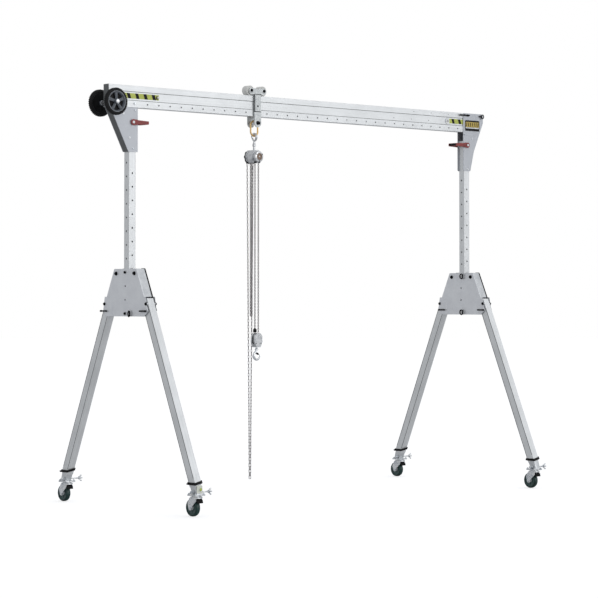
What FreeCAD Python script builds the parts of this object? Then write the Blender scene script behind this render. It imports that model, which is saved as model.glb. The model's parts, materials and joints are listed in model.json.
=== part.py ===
import FreeCAD, Part
import os
import re
import Sketcher

# Portable gantry crane with two folding leg frames, a telescoping mast and a chain hoist.
# The beam runs along X, the leg frames spread along Y, Z is up and the floor is Z = 0.
# Every size below is in millimetres, angles are in degrees.

doc = FreeCAD.newDocument("gantry")
sheet = doc.addObject("Spreadsheet::Sheet", "sizes")

values = [
    ("postSpacing", 3500),        # centre to centre of the two posts
    ("beamTop", 3083),
    ("beamDepth", 160),
    ("beamWidth", 60),
    ("beamWall", 4.5),
    ("beamCorner", 2.5),          # outer corner radius
    ("bandUpper", 43),            # height of the flange band above the recess
    ("bandLower", 50),
    ("bandRecess", 2.5),
    ("beamHoleStep", 105),
    ("beamHoleCount", 32),
    ("beamHoleRadius", 6),
    ("beamHoleInset", 93),        # first hole from the head plate's inner edge
    ("beamHoleRise", 27),         # hole row above the beam's underside
    ("headInner", 45),            # head plate reach from the post centre, towards mid span
    ("headOuter", 215),           # reach away from mid span at the wheel end
    ("headOuterRight", 192),
    ("headFoot", 39),
    ("headBottom", 2598),
    ("headShoulder", 2938),
    ("headShoulderRight", 3008),
    ("headKnee", 82),             # the right head's outer edge bends here
    ("headKneeHeight", 2766),
    ("beamReachRight", 148),      # beam beyond the right post's centre
    ("headPlate", 4.5),
    ("saddleThick", 6),
    ("headWeb", 4),
    ("beamCap", 3),
    ("postAcross", 62),
    ("postDeep", 60),
    ("postWall", 4),
    ("postCorner", 4),
    ("postTop", 2850),
    ("postBottom", 1405),
    ("postHoleStep", 100),
    ("postHoleRadius", 7),
    ("faceHoleCount", 12),
    ("sideHoleCount", 11),
    ("sideHoleTop", 2443),
    ("faceHoleTop", 2519),
    ("frameTop", 1745),
    ("frameBottom", 1398),
    ("frameCorner", 1435),
    ("frameTopHalf", 133),
    ("frameCornerHalf", 272),
    ("frameBottomHalf", 225),
    ("frameGap", 72),             # between the two frame plates
    ("framePlate", 5),
    ("plateCorner", 12),
    ("webBottom", 1541),
    ("webThick", 5),
    ("guideGap", 0.8),            # sleeve clearance round the post
    ("sleeveInset", 5),           # sleeve ends inside the plates' top and bottom edges
    ("pivotHeight", 1489),
    ("pivotOut", 250),
    ("pivotRadius", 8),
    ("pivotProud", 7),
    ("runGap", 0.05),             # radial clearance of every running fit
    ("legSplay", 23.24),
    ("legAcross", 60),
    ("legDeep", 70),
    ("legWall", 4),
    ("legCorner", 5),
    ("legOffset", 23),            # leg centre line inside the pivot
    ("legHead", 40),
    ("legLength", 1375),
    ("capRise", 20),
    ("capWall", 7),
    ("capFloor", 5),
    ("footSpread", 1555),
    ("adapterAcross", 58),
    ("adapterDeep", 66),
    ("footPlate", 95),
    ("footPlateTop", 157),
    ("footPlateUnder", 147),
    ("spindleRadius", 6),
    ("spindleLength", 200),
    ("spindleReach", 143),        # from the foot's middle to the spindle's free end, towards +X
    ("spindleHeight", 171),
    ("castorWheel", 62.5),        # radius
    ("castorWidth", 38),
    ("castorTrail", 36),
    ("castorAxle", 6),
    ("castorProud", 7),
    ("cheekGap", 46),
    ("cheekThick", 4),
    ("kingRadius", 10),
    ("crownUnder", 130),
    ("crownTop", 135),
    ("raceTop", 146),
    ("raceRadius", 32),
    ("pedalReach", 22),
    ("pedalDrop", 40),
    ("pedalThick", 10),
    ("transportRadius", 100),
    ("transportWidth", 48),
    ("transportInner", 72),
    ("transportOut", 200),        # axle from the post centre, away from mid span
    ("transportRise", 28),        # axle above the beam's underside
    ("transportAxle", 10),
    ("spacerWall", 7),
    ("axleNutWall", 6),
    ("axleNutThick", 6),
    ("leverHeight", 2815),
    ("leverPin", 8),
    ("leverReach", 155),
    ("leverHub", 24),
    ("leverTip", 13.5),
    ("leverThick", 6),
    ("leverGap", 5),
    ("leverPinProud", 4),
    ("leverGripLong", 27),
    ("leverGripHigh", 24),
    ("trolleyX", -560),
    ("trolleyGap", 6),            # plate to beam side
    ("trolleyPlate", 6),
    ("trolleyHalf", 33),
    ("trolleyFlare", 82),
    ("trolleyHead", 57),          # plate top above the beam
    ("trolleyStep", 8),           # the lobes' underside above the beam
    ("trolleyPinProud", 10),
    ("loadPinDrop", 49),          # load pin below the beam's underside
    ("loadPinRadius", 10),
    ("rollerRadius", 38),
    ("rollerHalfStep", 62.5),
    ("rollerWidth", 61),
    ("rollerAxle", 8),
    ("rollerRest", 0.3),
    ("rollerEdge", 2),
    ("linkBar", 7),
    ("linkRing", 35.5),
    ("linkStraight", 44),
    ("hookBar", 9),
    ("hookRing", 26),
    ("topShankDepth", 40),        # shank inside the hoist
    ("hoistMiddle", 2616),
    ("hoistRadius", 50),
    ("hoistBottom", 2567),
    ("hoistTop", 2668),
    ("hoistNear", 40),
    ("hoistFar", 33),
    ("gearRadius", 44),
    ("gearDepth", 26),
    ("handWheel", 52),
    ("handWheelDepth", 28),
    ("guideAcross", 14),
    ("guideDeep", 16),
    ("guideHigh", 30),
    ("chainRadius", 4),
    ("fallHalf", 17),
    ("fallY", -30),
    ("slackX", -20),
    ("slackY", 10),
    ("slackHalf", 7),
    ("slackBottom", 1402),
    ("handY", 48),
    ("handTopHalf", 29),
    ("handFootHalf", 5),
    ("handTop", 2568),
    ("handBottom", 152),
    ("handRadius", 3.5),
    ("blockTop", 1265),
    ("blockBottom", 1157),
    ("blockHalf", 38),
    ("blockDepth", 52),
    ("loadHookRing", 28),
    ("loadHookBar", 10),
    ("loadHookMiddle", 1092),
    ("loadShank", 8),
    ("loadShankDepth", 26),       # shank inside the block
    ("latchAside", 3.3),
    ("latchUnder", 6),
    ("latchBarrel", 3),
    ("latchBarrelLength", 24),
    ("latchWide", 14),
    ("stopInset", 184),           # end stop from the head plate's inner edge
    ("stopRadius", 8),
    ("stopLength", 90),
    ("bite", 1),                  # how far a fused piece reaches into its neighbour
]
for row, (name, number) in enumerate(values, start=1):
    sheet.set(f"A{row}", name)
    sheet.set(f"B{row}", str(number))
    sheet.setAlias(f"B{row}", name)
doc.recompute()


sizeNames = {name for name, _ in values}
zero = FreeCAD.Vector(0, 0, 0)
alongX = FreeCAD.Vector(1, 0, 0)
alongY = FreeCAD.Vector(0, 1, 0)
alongZ = FreeCAD.Vector(0, 0, 1)
gauge = doc.addObject("Part::Vertex", "gauge")
nodes = []
fullTurn = 360
halfTurn = 180
hookSweep = 290                   # the part of a hook's ring that is there

# The origin is the middle of the footprint: the transport wheels reach past the left end
# and the castors trail to +Y, so mid span sits a little off it.
shiftX = "(transportOut + transportRadius - headOuterRight) / 2"
shiftY = "-(castorTrail + castorWheel - raceRadius - pedalReach) / 2"


def bound(formula):
    """Point every size name in a formula at the sheet."""
    words = str(formula)
    return re.sub(r"[A-Za-z]+", lambda m: "sizes." + m[0] if m[0] in sizeNames else m[0], words)


def number(formula):
    """Read a formula's present value."""
    gauge.setExpression("X", bound(formula))
    gauge.recompute()
    return gauge.X.Value


def place(thing, x=0, y=0, z=0, axis=alongZ, turn=0):
    """Turn a feature about an axis and bind its position to formulas."""
    thing.Placement = FreeCAD.Placement(zero, FreeCAD.Rotation(axis, number(turn)))
    for letter, formula in (("x", x), ("y", y), ("z", z)):
        thing.setExpression("Placement.Base." + letter, bound(formula))
    return thing


def block(name, sizes, middle):
    """Box given by its three sizes and its middle."""
    thing = doc.addObject("Part::Box", name)
    for field, formula in zip(("Length", "Width", "Height"), sizes):
        thing.setExpression(field, bound(formula))
    corner = [f"({m}) - ({s}) / 2" for m, s in zip(middle, sizes)]
    return place(thing, *corner)


def rod(name, direction, radius, length, middle):
    """Round bar along x, y or z, given by its middle."""
    thing = doc.addObject("Part::Cylinder", name)
    thing.setExpression("Radius", bound(radius))
    thing.setExpression("Height", bound(length))
    x, y, z = middle
    if direction == "x":
        return place(thing, f"({x}) - ({length}) / 2", y, z, alongY, 90)
    if direction == "y":
        return place(thing, x, f"({y}) + ({length}) / 2", z, alongX, 90)
    return place(thing, x, y, f"({z}) - ({length}) / 2")


def bow(name, ring, bar, sweep, middle, axis, turn):
    """Part of a round ring, swept from its own X axis."""
    thing = doc.addObject("Part::Torus", name)
    thing.setExpression("Radius1", bound(ring))
    thing.setExpression("Radius2", bound(bar))
    thing.Angle3 = sweep
    place(thing, *middle)
    thing.Placement.Rotation = FreeCAD.Rotation(axis, turn)
    return thing


def outlined(name, plane, corners, circles=()):
    """Body with one sketch on an origin plane: a closed outline and round holes."""
    body = doc.addObject("PartDesign::Body", name)
    sketch = body.newObject("Sketcher::SketchObject", name + "Sketch")
    support = [f for f in body.Origin.OriginFeatures if f.Role == plane + "_Plane"][0]
    sketch.AttachmentSupport = [(support, "")]
    sketch.MapMode = "FlatFace"
    draw(sketch, corners)
    for u, v, radius in circles:
        ring(sketch, u, v, radius)
    return body, sketch


def draw(sketch, corners):
    """Add a closed outline whose corners are bound to formulas."""
    first = sketch.GeometryCount
    count = len(corners)
    spots = [FreeCAD.Vector(number(u), number(v), 0) for u, v in corners]
    for i in range(count):
        sketch.addGeometry(Part.LineSegment(spots[i], spots[(i + 1) % count]), False)
    for i in range(count):
        sketch.addConstraint(Sketcher.Constraint("Coincident", first + i, 2, first + (i + 1) % count, 1))
    for i, (u, v) in enumerate(corners):
        across = sketch.addConstraint(Sketcher.Constraint("DistanceX", -1, 1, first + i, 1, spots[i].x))
        sketch.setExpression(f"Constraints[{across}]", bound(u))
        up = sketch.addConstraint(Sketcher.Constraint("DistanceY", -1, 1, first + i, 1, spots[i].y))
        sketch.setExpression(f"Constraints[{up}]", bound(v))


def ring(sketch, u, v, radius):
    """Add a circle bound to formulas."""
    spot = FreeCAD.Vector(number(u), number(v), 0)
    index = sketch.addGeometry(Part.Circle(spot, alongZ, number(radius)), False)
    size = sketch.addConstraint(Sketcher.Constraint("Radius", index, number(radius)))
    sketch.setExpression(f"Constraints[{size}]", bound(radius))
    across = sketch.addConstraint(Sketcher.Constraint("DistanceX", -1, 1, index, 3, spot.x))
    sketch.setExpression(f"Constraints[{across}]", bound(u))
    up = sketch.addConstraint(Sketcher.Constraint("DistanceY", -1, 1, index, 3, spot.y))
    sketch.setExpression(f"Constraints[{up}]", bound(v))


def rectangle(halfU, halfV):
    """Corners of a rectangle about the origin."""
    return [(f"-({halfU})", f"-({halfV})"), (f"{halfU}", f"-({halfV})"),
            (f"{halfU}", f"{halfV}"), (f"-({halfU})", f"{halfV}")]


def prism(name, plane, corners, thickness, circles=()):
    """Plate padded evenly to both sides of an origin plane."""
    body, sketch = outlined(name, plane, corners, circles)
    pad = body.newObject("PartDesign::Pad", name + "Pad")
    pad.Profile = sketch
    pad.Midplane = True
    pad.setExpression("Length", bound(thickness))
    return body


def lathe(name, plane, axis, corners):
    """Round body turned about a sketch axis."""
    body, sketch = outlined(name, plane, corners)
    turned = body.newObject("PartDesign::Revolution", name + "Turn")
    turned.Profile = sketch
    turned.ReferenceAxis = (sketch, [axis])
    turned.Angle = fullTurn
    return body


def soften(body, radius, along, outerOnly=True):
    """Round a body's straight edges that run along one axis, all of them or those at its outer corners."""
    doc.recompute()
    base = body.Tip
    shape = base.Shape
    box = shape.BoundBox
    spread = [(box.XMin, box.XMax), (box.YMin, box.YMax), (box.ZMin, box.ZMax)]
    across = [i for i in range(3) if not abs(along[i]) > 0.5]
    chosen = []
    for index, edge in enumerate(shape.Edges, start=1):
        if len(edge.Vertexes) != 2:
            continue
        start, end = (v.Point for v in edge.Vertexes)
        if (end - start).normalize().cross(along).Length > 0.001:
            continue
        if any(not isinstance(face.Surface, Part.Plane) for face in shape.ancestorsOfType(edge, Part.Face)):
            continue
        outer = all(min(abs(start[i] - spread[i][0]), abs(start[i] - spread[i][1])) < 0.01 for i in across)
        if outer or not outerOnly:
            chosen.append(f"Edge{index}")
    fillet = body.newObject("PartDesign::Fillet", body.Name + "Soft")
    fillet.Base = (base, chosen)
    fillet.setExpression("Radius", bound(radius))
    body.Tip = fillet


def drill(body, name, plane, u, v, radius, step=None, count=None, direction=None):
    """Round hole through everything, repeated along a line when a step is given."""
    sketch = body.newObject("Sketcher::SketchObject", name + "Sketch")
    support = [f for f in body.Origin.OriginFeatures if f.Role == plane + "_Plane"][0]
    sketch.AttachmentSupport = [(support, "")]
    sketch.MapMode = "FlatFace"
    ring(sketch, u, v, radius)
    pocket = body.newObject("PartDesign::Pocket", name + "Pocket")
    pocket.Profile = sketch
    pocket.Type = 1
    pocket.Midplane = True
    if step is None:
        return
    row = body.newObject("PartDesign::LinearPattern", name + "Row")
    row.Originals = [pocket]
    row.Direction = (sketch, [direction])
    row.setExpression("Length", bound(f"{step} * ({count} - 1)"))
    row.setExpression("Occurrences", bound(count))
    body.Tip = row


def fuse(name, parts):
    thing = doc.addObject("Part::MultiFuse", name)
    thing.Shapes = parts
    return thing


def cut(name, base, tool):
    thing = doc.addObject("Part::Cut", name)
    thing.Base = base
    thing.Tool = tool
    return thing


def gather(name, parts):
    """Several solids of one kind that stay apart but share a node."""
    thing = doc.addObject("Part::Compound", name)
    thing.Links = parts
    return thing


def node(thing, label, x=0, y=0, z=0, axis=alongZ, turn=0):
    """Name a finished sub-part and set it in the shared frame, whose origin is mid footprint."""
    place(thing, f"({x}) + {shiftX}", f"({y}) + {shiftY}", z, axis, turn)
    thing.Label = label
    nodes.append(thing)


beamLength = "postSpacing + headOuter + beamReachRight"
beamMiddle = "(beamReachRight - headOuter) / 2"
beamUnder = "beamTop - beamDepth"
postPlaces = {"left": "-postSpacing / 2", "right": "postSpacing / 2"}
# Outward is away from mid span: -X at the left post, +X at the right one.
outward = {"left": "-1", "right": "1"}

# ---- beam: hollow section with a shallow recess along each side and a hole row
recessTop = "beamTop - bandUpper"
recessFoot = f"{beamUnder} + bandLower"
sideOut = "beamWidth / 2"
sideIn = "beamWidth / 2 - bandRecess"
beamOutline = [
    (f"-({sideOut})", beamUnder), (sideOut, beamUnder), (sideOut, recessFoot), (sideIn, recessFoot),
    (sideIn, recessTop), (sideOut, recessTop), (sideOut, "beamTop"), (f"-({sideOut})", "beamTop"),
    (f"-({sideOut})", recessTop), (f"-({sideIn})", recessTop), (f"-({sideIn})", recessFoot),
    (f"-({sideOut})", recessFoot),
]
beam, beamSketch = outlined("beamBody", "YZ", beamOutline)
innerSide = "beamWidth / 2 - bandRecess - beamWall"
innerFoot = f"{beamUnder} + beamWall"
innerTop = "beamTop - beamWall"
draw(beamSketch, [(f"-({innerSide})", innerFoot), (innerSide, innerFoot),
                  (innerSide, innerTop), (f"-({innerSide})", innerTop)])
beamPad = beam.newObject("PartDesign::Pad", "beamPad")
beamPad.Profile = beamSketch
beamPad.Midplane = True
beamPad.setExpression("Length", bound(beamLength))
soften(beam, "beamCorner", alongX)
firstHole = f"-postSpacing / 2 + headInner + beamHoleInset - {beamMiddle}"
drill(beam, "beamHole", "XZ", firstHole, f"{beamUnder} + beamHoleRise", "beamHoleRadius",
      "beamHoleStep", "beamHoleCount", "H_Axis")
axleX = "-postSpacing / 2 - transportOut"
axleZ = f"{beamUnder} + transportRise"
drill(beam, "axleHole", "XZ", f"{axleX} - {beamMiddle}", axleZ, "transportAxle + runGap")
stopReach = "postSpacing / 2 - headInner - stopInset"
stopZ = "beamTop - bandUpper - (beamDepth - bandUpper - bandLower) / 2"
for side, sign in outward.items():
    drill(beam, side + "StopHole", "XZ", f"{sign} * ({stopReach}) - {beamMiddle}", stopZ, "stopRadius + runGap")
node(beam, "beam", beamMiddle)
stops = [rod(side + "Stop", "y", "stopRadius", "stopLength", (f"{sign} * ({stopReach})", 0, stopZ))
         for side, sign in outward.items()]
node(gather("stopRods", stops), "end_stops")

# ---- posts and the plates that carry the beam
for side, sign in outward.items():
    here = postPlaces[side]
    post, postSketch = outlined(side + "Post", "XY", rectangle("postAcross / 2", "postDeep / 2"))
    draw(postSketch, rectangle("postAcross / 2 - postWall", "postDeep / 2 - postWall"))
    pad = post.newObject("PartDesign::Pad", side + "PostPad")
    pad.Profile = postSketch
    pad.setExpression("Length", bound("postTop - postBottom"))
    soften(post, "postCorner", alongZ)
    drill(post, side + "FaceHole", "YZ", 0, "faceHoleTop - postBottom - (faceHoleCount - 1) * postHoleStep",
          "postHoleRadius", "postHoleStep", "faceHoleCount", "V_Axis")
    drill(post, side + "SideHole", "XZ", 0, "sideHoleTop - postBottom - (sideHoleCount - 1) * postHoleStep",
          "postHoleRadius", "postHoleStep", "sideHoleCount", "V_Axis")
    drill(post, side + "LeverHole", "XZ", 0, "leverHeight - postBottom", "leverPin + runGap")
    node(post, f"post_{side}", here, 0, "postBottom")

    shelf = f"{beamUnder} - saddleThick"
    inner = f"-{sign} * headInner"
    foot = (f"{sign} * headFoot", "headBottom")
    if side == "left":
        slope = "(headOuter - headFoot) / (headShoulder - headBottom)"
        start = ("headFoot", "headBottom")
        webTop = shelf
    else:
        slope = "(headOuterRight - headKnee) / (headShoulderRight - headKneeHeight)"
        start = ("headKnee", "headKneeHeight")
        webTop = beamUnder
    webAcross = f"headWeb * sqrt(1 + ({slope}) ^ 2)"
    reachTop = f"{start[0]} + ({webTop} - {start[1]}) * {slope}"
    if side == "left":
        outline = [(inner, "headBottom"), foot, (f"{sign} * ({reachTop})", webTop), (inner, shelf)]
        webBack = []
        webFront = []
    else:
        knee = (f"{sign} * headKnee", "headKneeHeight")
        outline = [(inner, "headBottom"), foot, knee, (f"{sign} * headOuterRight", "headShoulderRight"),
                   (f"{sign} * headOuterRight", "beamTop"), (inner, "beamTop")]
        webFront = [knee]
        webBack = [(f"{sign} * (headKnee - {webAcross})", "headKneeHeight")]
    pinHole = [(0, "leverHeight", "leverPin + runGap")]
    slab = prism(side + "HeadSlab", "XZ", outline, "postDeep + 2 * headPlate", pinHole)
    if side == "right":
        soften(slab, "plateCorner", alongY, outerOnly=False)
    middleCut = block(side + "HeadGap", ("4 * headOuter", "postDeep", "2 * beamTop"), (0, 0, "beamTop"))
    plates = cut(side + "HeadPair", slab, middleCut)
    if side == "left":
        saddle = block("leftSaddle", ("headOuter + headInner", "postDeep + 2 * headPlate", "saddleThick"),
                       ("-(headOuter - headInner) / 2", 0, f"{beamUnder} - saddleThick / 2"))
        plates = fuse("leftHeadWhole", [plates, saddle])
    node(plates, f"head_plates_{side}", here)

    webOutline = [foot, *webFront, (f"{sign} * ({reachTop})", webTop),
                  (f"{sign} * ({reachTop} - {webAcross})", webTop), *webBack,
                  (f"{sign} * (headFoot - {webAcross})", "headBottom")]
    web = prism(side + "HeadWeb", "XZ", webOutline, "postDeep")
    beamReach = {"left": "headOuter", "right": "beamReachRight"}[side]
    endCap = block(side + "BeamCap", ("beamCap", "beamWidth", "beamDepth"),
                   (f"{sign} * ({beamReach} + beamCap / 2)", 0, "beamTop - beamDepth / 2"))
    node(gather(side + "Closing", [web, endCap]), f"head_closing_{side}", here)

# ---- lock levers: two arms side by side, a grip between their tips and the lock pin
hubShares = [(0.6, -0.8), (1, 0), (0.6, 0.8), (-1, 1)]
for side, sign in outward.items():
    armSpan = "postDeep + 2 * headPlate + 2 * leverGap"
    pinLength = f"{armSpan} + 2 * leverThick + 2 * leverPinProud"
    tip = f"-{sign} * (leverReach - leverGripLong / 2)"
    armOutline = [(f"{sign} * leverHub * {u}", f"leverHub * {v}") for u, v in hubShares]
    armOutline += [(f"-{sign} * leverReach", "leverTip"), (f"-{sign} * leverReach", "-leverTip"),
                   (f"-{sign} * leverHub", "-leverHub")]
    arms = cut(side + "LeverArms",
               prism(side + "LeverSlab", "XZ", armOutline, f"{armSpan} + 2 * leverThick"),
               block(side + "LeverGap", ("6 * leverReach", armSpan, "6 * leverHub"), (0, 0, 0)))
    gripSizes = ("leverGripLong", f"{armSpan} + 2 * bite", "leverGripHigh")
    grip = block(side + "LeverGrip", gripSizes, (tip, 0, 0))
    pin = rod(side + "LeverPin", "y", "leverPin", pinLength, (0, 0, 0))
    node(fuse(side + "Lever", [arms, grip, pin]), f"lock_lever_{side}", postPlaces[side], 0, "leverHeight")

# ---- transport wheels on their axle, outside the left end
sideGap = "bite"                  # between a wheel's hub and the spacer or nut beside it
axleLength = f"2 * (transportInner + transportWidth + {sideGap} + axleNutThick + bite)"
bar = rod("transportBar", "y", "transportAxle", axleLength, (0, 0, 0))
collars = []
spacerEnd = f"transportInner - {sideGap}"
nutMiddle = f"transportInner + transportWidth + {sideGap} + axleNutThick / 2"
for word, sign in (("near", "-1"), ("far", "1")):
    collars.append(rod(word + "Spacer", "y", "transportAxle + spacerWall", f"{spacerEnd} - beamWidth / 2",
                       (0, f"{sign} * ({spacerEnd} + beamWidth / 2) / 2", 0)))
    collars.append(rod(word + "Nut", "y", "transportAxle + axleNutWall", "axleNutThick",
                       (0, f"{sign} * ({nutMiddle})", 0)))
node(fuse("transportAxleWhole", [bar] + collars), "transport_axle", axleX, 0, axleZ)
# Half a wheel's section as shares of its radius and half its width: hub, dished disc, rim, tyre.
wheelShares = [(0.24, 1), (0.26, 0.5), (0.7, 0.5), (0.74, 0.72), (0.92, 0.68), (1, 0.3)]
wide = "transportWidth / 2"
wheelOutline = [("transportAxle + runGap", f"-({wide})")]
wheelOutline += [(f"transportRadius * {u}", f"-({wide}) * {v}") for u, v in wheelShares]
wheelOutline += [(f"transportRadius * {u}", f"({wide}) * {v}") for u, v in reversed(wheelShares)]
wheelOutline += [("transportAxle + runGap", wide)]
for word, sign in (("near", "-1"), ("far", "1")):
    wheel = lathe(word + "Transport", "XY", "V_Axis", wheelOutline)
    node(wheel, f"transport_wheel_{word}", axleX, f"{sign} * (transportInner + transportWidth / 2)", axleZ)

# ---- leg frames
frameOutline = [
    ("-frameTopHalf", "frameTop"), ("-frameCornerHalf", "frameCorner"), ("-frameBottomHalf", "frameBottom"),
    ("frameBottomHalf", "frameBottom"), ("frameCornerHalf", "frameCorner"), ("frameTopHalf", "frameTop"),
]
pinRows = (8, 9, 10, 11)          # post holes, counted from the top, that meet the frame plates
pinHoles = [(0, f"faceHoleTop - {k} * postHoleStep", "postHoleRadius") for k in pinRows]
edgeSlope = "(frameCornerHalf - frameTopHalf) / (frameTop - frameCorner)"
webFootOut = f"frameTopHalf + (frameTop - webBottom) * {edgeSlope}"
for side in outward:
    here = postPlaces[side]
    slab = prism(side + "FrameSlab", "YZ", frameOutline, "frameGap + 2 * framePlate", pinHoles)
    soften(slab, "plateCorner", alongX, outerOnly=False)
    gap = block(side + "FrameGap", ("frameGap", "4 * frameCornerHalf", "2 * frameTop"), (0, 0, "frameTop"))
    pair = cut(side + "FramePair", slab, gap)
    bolts = [rod(f"{side}Pivot{word}", "x", "pivotRadius", "frameGap + 2 * framePlate + 2 * pivotProud",
                 (0, f"{sign} * pivotOut", "pivotHeight")) for word, sign in (("Near", "-1"), ("Far", "1"))]
    node(fuse(side + "FrameWhole", [pair] + bolts), f"frame_plates_{side}", here)

    sleeveHalf = "frameGap / 2"
    sleeve, sleeveSketch = outlined(side + "Sleeve", "XY", rectangle(sleeveHalf, sleeveHalf))
    draw(sleeveSketch, rectangle("postAcross / 2 + guideGap", "postDeep / 2 + guideGap"))
    pad = sleeve.newObject("PartDesign::Pad", side + "SleevePad")
    pad.Profile = sleeveSketch
    pad.setExpression("Length", bound("frameTop - frameBottom - 2 * sleeveInset"))
    for k in pinRows:
        rise = f"faceHoleTop - {k} * postHoleStep - frameBottom - sleeveInset"
        drill(sleeve, f"{side}SleeveHole{k}", "YZ", 0, rise, "postHoleRadius")
    place(sleeve, 0, 0, "frameBottom + sleeveInset")
    webs = []
    for word, sign in (("near", "-1"), ("far", "1")):
        outline = [(f"{sign} * frameTopHalf", "frameTop"), (f"{sign} * ({webFootOut})", "webBottom"),
                   (f"{sign} * ({webFootOut} - webThick)", "webBottom"),
                   (f"{sign} * (frameTopHalf - webThick)", "frameTop")]
        webs.append(prism(f"{side}{word}Web", "YZ", outline, "frameGap"))
    node(gather(side + "Core", [sleeve] + webs), f"frame_core_{side}", here)

# ---- legs with their feet and castors
castorShares = [(0.3, 1), (0.36, 0.6), (0.68, 0.6), (0.74, 1), (0.92, 1), (1, 0.6)]
for side in outward:
    for word, sign in (("near", "-1"), ("far", "1")):
        tag = side + word.capitalize()
        here = postPlaces[side]
        tube, tubeSketch = outlined(tag + "Leg", "XY", [
            ("-legAcross / 2", f"{sign} * (-legOffset - legDeep / 2)"),
            ("legAcross / 2", f"{sign} * (-legOffset - legDeep / 2)"),
            ("legAcross / 2", f"{sign} * (-legOffset + legDeep / 2)"),
            ("-legAcross / 2", f"{sign} * (-legOffset + legDeep / 2)")])
        draw(tubeSketch, [
            ("-(legAcross / 2 - legWall)", f"{sign} * (-legOffset - legDeep / 2 + legWall)"),
            ("legAcross / 2 - legWall", f"{sign} * (-legOffset - legDeep / 2 + legWall)"),
            ("legAcross / 2 - legWall", f"{sign} * (-legOffset + legDeep / 2 - legWall)"),
            ("-(legAcross / 2 - legWall)", f"{sign} * (-legOffset + legDeep / 2 - legWall)")])
        pad = tube.newObject("PartDesign::Pad", tag + "LegPad")
        pad.Profile = tubeSketch
        pad.setExpression("Length", bound("legLength + legHead"))
        soften(tube, "legCorner", alongZ)
        drill(tube, tag + "PivotHole", "YZ", 0, "legLength", "pivotRadius + runGap")
        turn = f"{sign} * legSplay"
        footY = f"{sign} * (pivotOut + legLength * sin(legSplay))"
        footZ = "pivotHeight - legLength * cos(legSplay)"
        node(tube, f"leg_{side}_{word}", here, footY, footZ, alongX, turn)

        # A cup over the tube's end, an adapter below it, then the foot plate and its spindle.
        cupSizes = ("legAcross + 2 * capWall", "legDeep + 2 * capWall", "capRise + capFloor")
        cupMiddle = (0, f"{sign} * (-legOffset)", "(capRise - capFloor) / 2")
        cupOuter = block(tag + "CupOuter", cupSizes, cupMiddle)
        cupInner = block(tag + "CupInner", ("legAcross", "legDeep", "2 * capRise"),
                         (0, f"{sign} * (-legOffset)", "capRise"))
        cup = cut(tag + "Cup", cupOuter, cupInner)
        place(cup, 0, footY, footZ, alongX, turn)
        endY = f"pivotOut + legLength * sin(legSplay) - legOffset * cos(legSplay)"
        endZ = f"{footZ} - legOffset * sin(legSplay)"
        half = "adapterDeep / 2"
        adapter = prism(tag + "Adapter", "YZ", [
            (f"{sign} * (footSpread / 2 - {half})", "footPlateTop - bite"),
            (f"{sign} * (footSpread / 2 + {half})", "footPlateTop - bite"),
            (f"{sign} * ({endY} + {half} * cos(legSplay))", f"{endZ} + {half} * sin(legSplay) - 2 * bite"),
            (f"{sign} * ({endY} - {half} * cos(legSplay))", f"{endZ} - {half} * sin(legSplay) - 2 * bite")],
            "adapterAcross")
        footMiddle = f"{sign} * footSpread / 2"
        pad = block(tag + "FootPlate", ("footPlate", "footPlate", "footPlateTop - footPlateUnder"),
                    (0, footMiddle, "(footPlateTop + footPlateUnder) / 2"))
        spindle = rod(tag + "Spindle", "x", "spindleRadius", "spindleLength",
                      ("spindleReach - spindleLength / 2", footMiddle, "spindleHeight"))
        king = rod(tag + "King", "z", "kingRadius", "footPlateUnder - crownUnder + bite",
                   (0, footMiddle, "(footPlateUnder + crownUnder + bite) / 2"))
        node(fuse(tag + "Foot", [cup, adapter, pad, spindle, king]), f"foot_{side}_{word}", here)

        raceHigh = "raceTop - crownUnder"
        race = rod(tag + "Race", "z", "raceRadius", raceHigh, (0, 0, "(raceTop + crownUnder) / 2"))
        crownSizes = ("cheekGap + 2 * cheekThick", "2 * raceRadius", "crownTop - crownUnder")
        crown = block(tag + "Crown", crownSizes, (0, 0, "(crownTop + crownUnder) / 2"))
        cheekOutline = [("-raceRadius", "crownTop"), ("raceRadius", "crownTop"),
                        ("castorTrail + 3 * castorAxle", "castorWheel"),
                        ("castorTrail + 1.5 * castorAxle", "castorWheel - 2.6 * castorAxle"),
                        ("castorTrail - 1.5 * castorAxle", "castorWheel - 2.6 * castorAxle"),
                        ("castorTrail - 3 * castorAxle", "castorWheel")]
        cheeks = cut(tag + "Cheeks",
                     prism(tag + "CheekSlab", "YZ", cheekOutline, "cheekGap + 2 * cheekThick"),
                     block(tag + "CheekGap", ("cheekGap", "8 * castorTrail", "crownUnder * 2"), (0, 0, 0)))
        axle = rod(tag + "Axle", "x", "castorAxle", "cheekGap + 2 * cheekThick + 2 * castorProud",
                   (0, "castorTrail", "castorWheel"))
        # The brake pedal leaves the crown, slopes out and hangs down in front of the wheel.
        pedalRoot = "-raceRadius + 2 * cheekThick"
        pedalKnee = "crownUnder - pedalDrop * 0.4"
        pedalEdge = "-raceRadius - pedalReach"
        pedal = prism(tag + "Pedal", "YZ", [
            (pedalRoot, "crownTop - bite"), (f"{pedalEdge} + cheekThick", pedalKnee),
            (pedalEdge, "crownUnder - pedalDrop"), (f"{pedalEdge} + pedalThick", "crownUnder - pedalDrop"),
            (f"{pedalEdge} + cheekThick + pedalThick", pedalKnee), (pedalRoot, "crownUnder - 6 * bite")],
            "cheekGap + cheekThick")
        solid = fuse(tag + "ForkSolid", [race, crown, cheeks, axle, pedal])
        bore = rod(tag + "KingBore", "z", "kingRadius + runGap", f"4 * ({raceHigh})", (0, 0, "raceTop"))
        node(cut(tag + "Fork", solid, bore), f"castor_fork_{side}_{word}", here, footMiddle)

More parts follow.
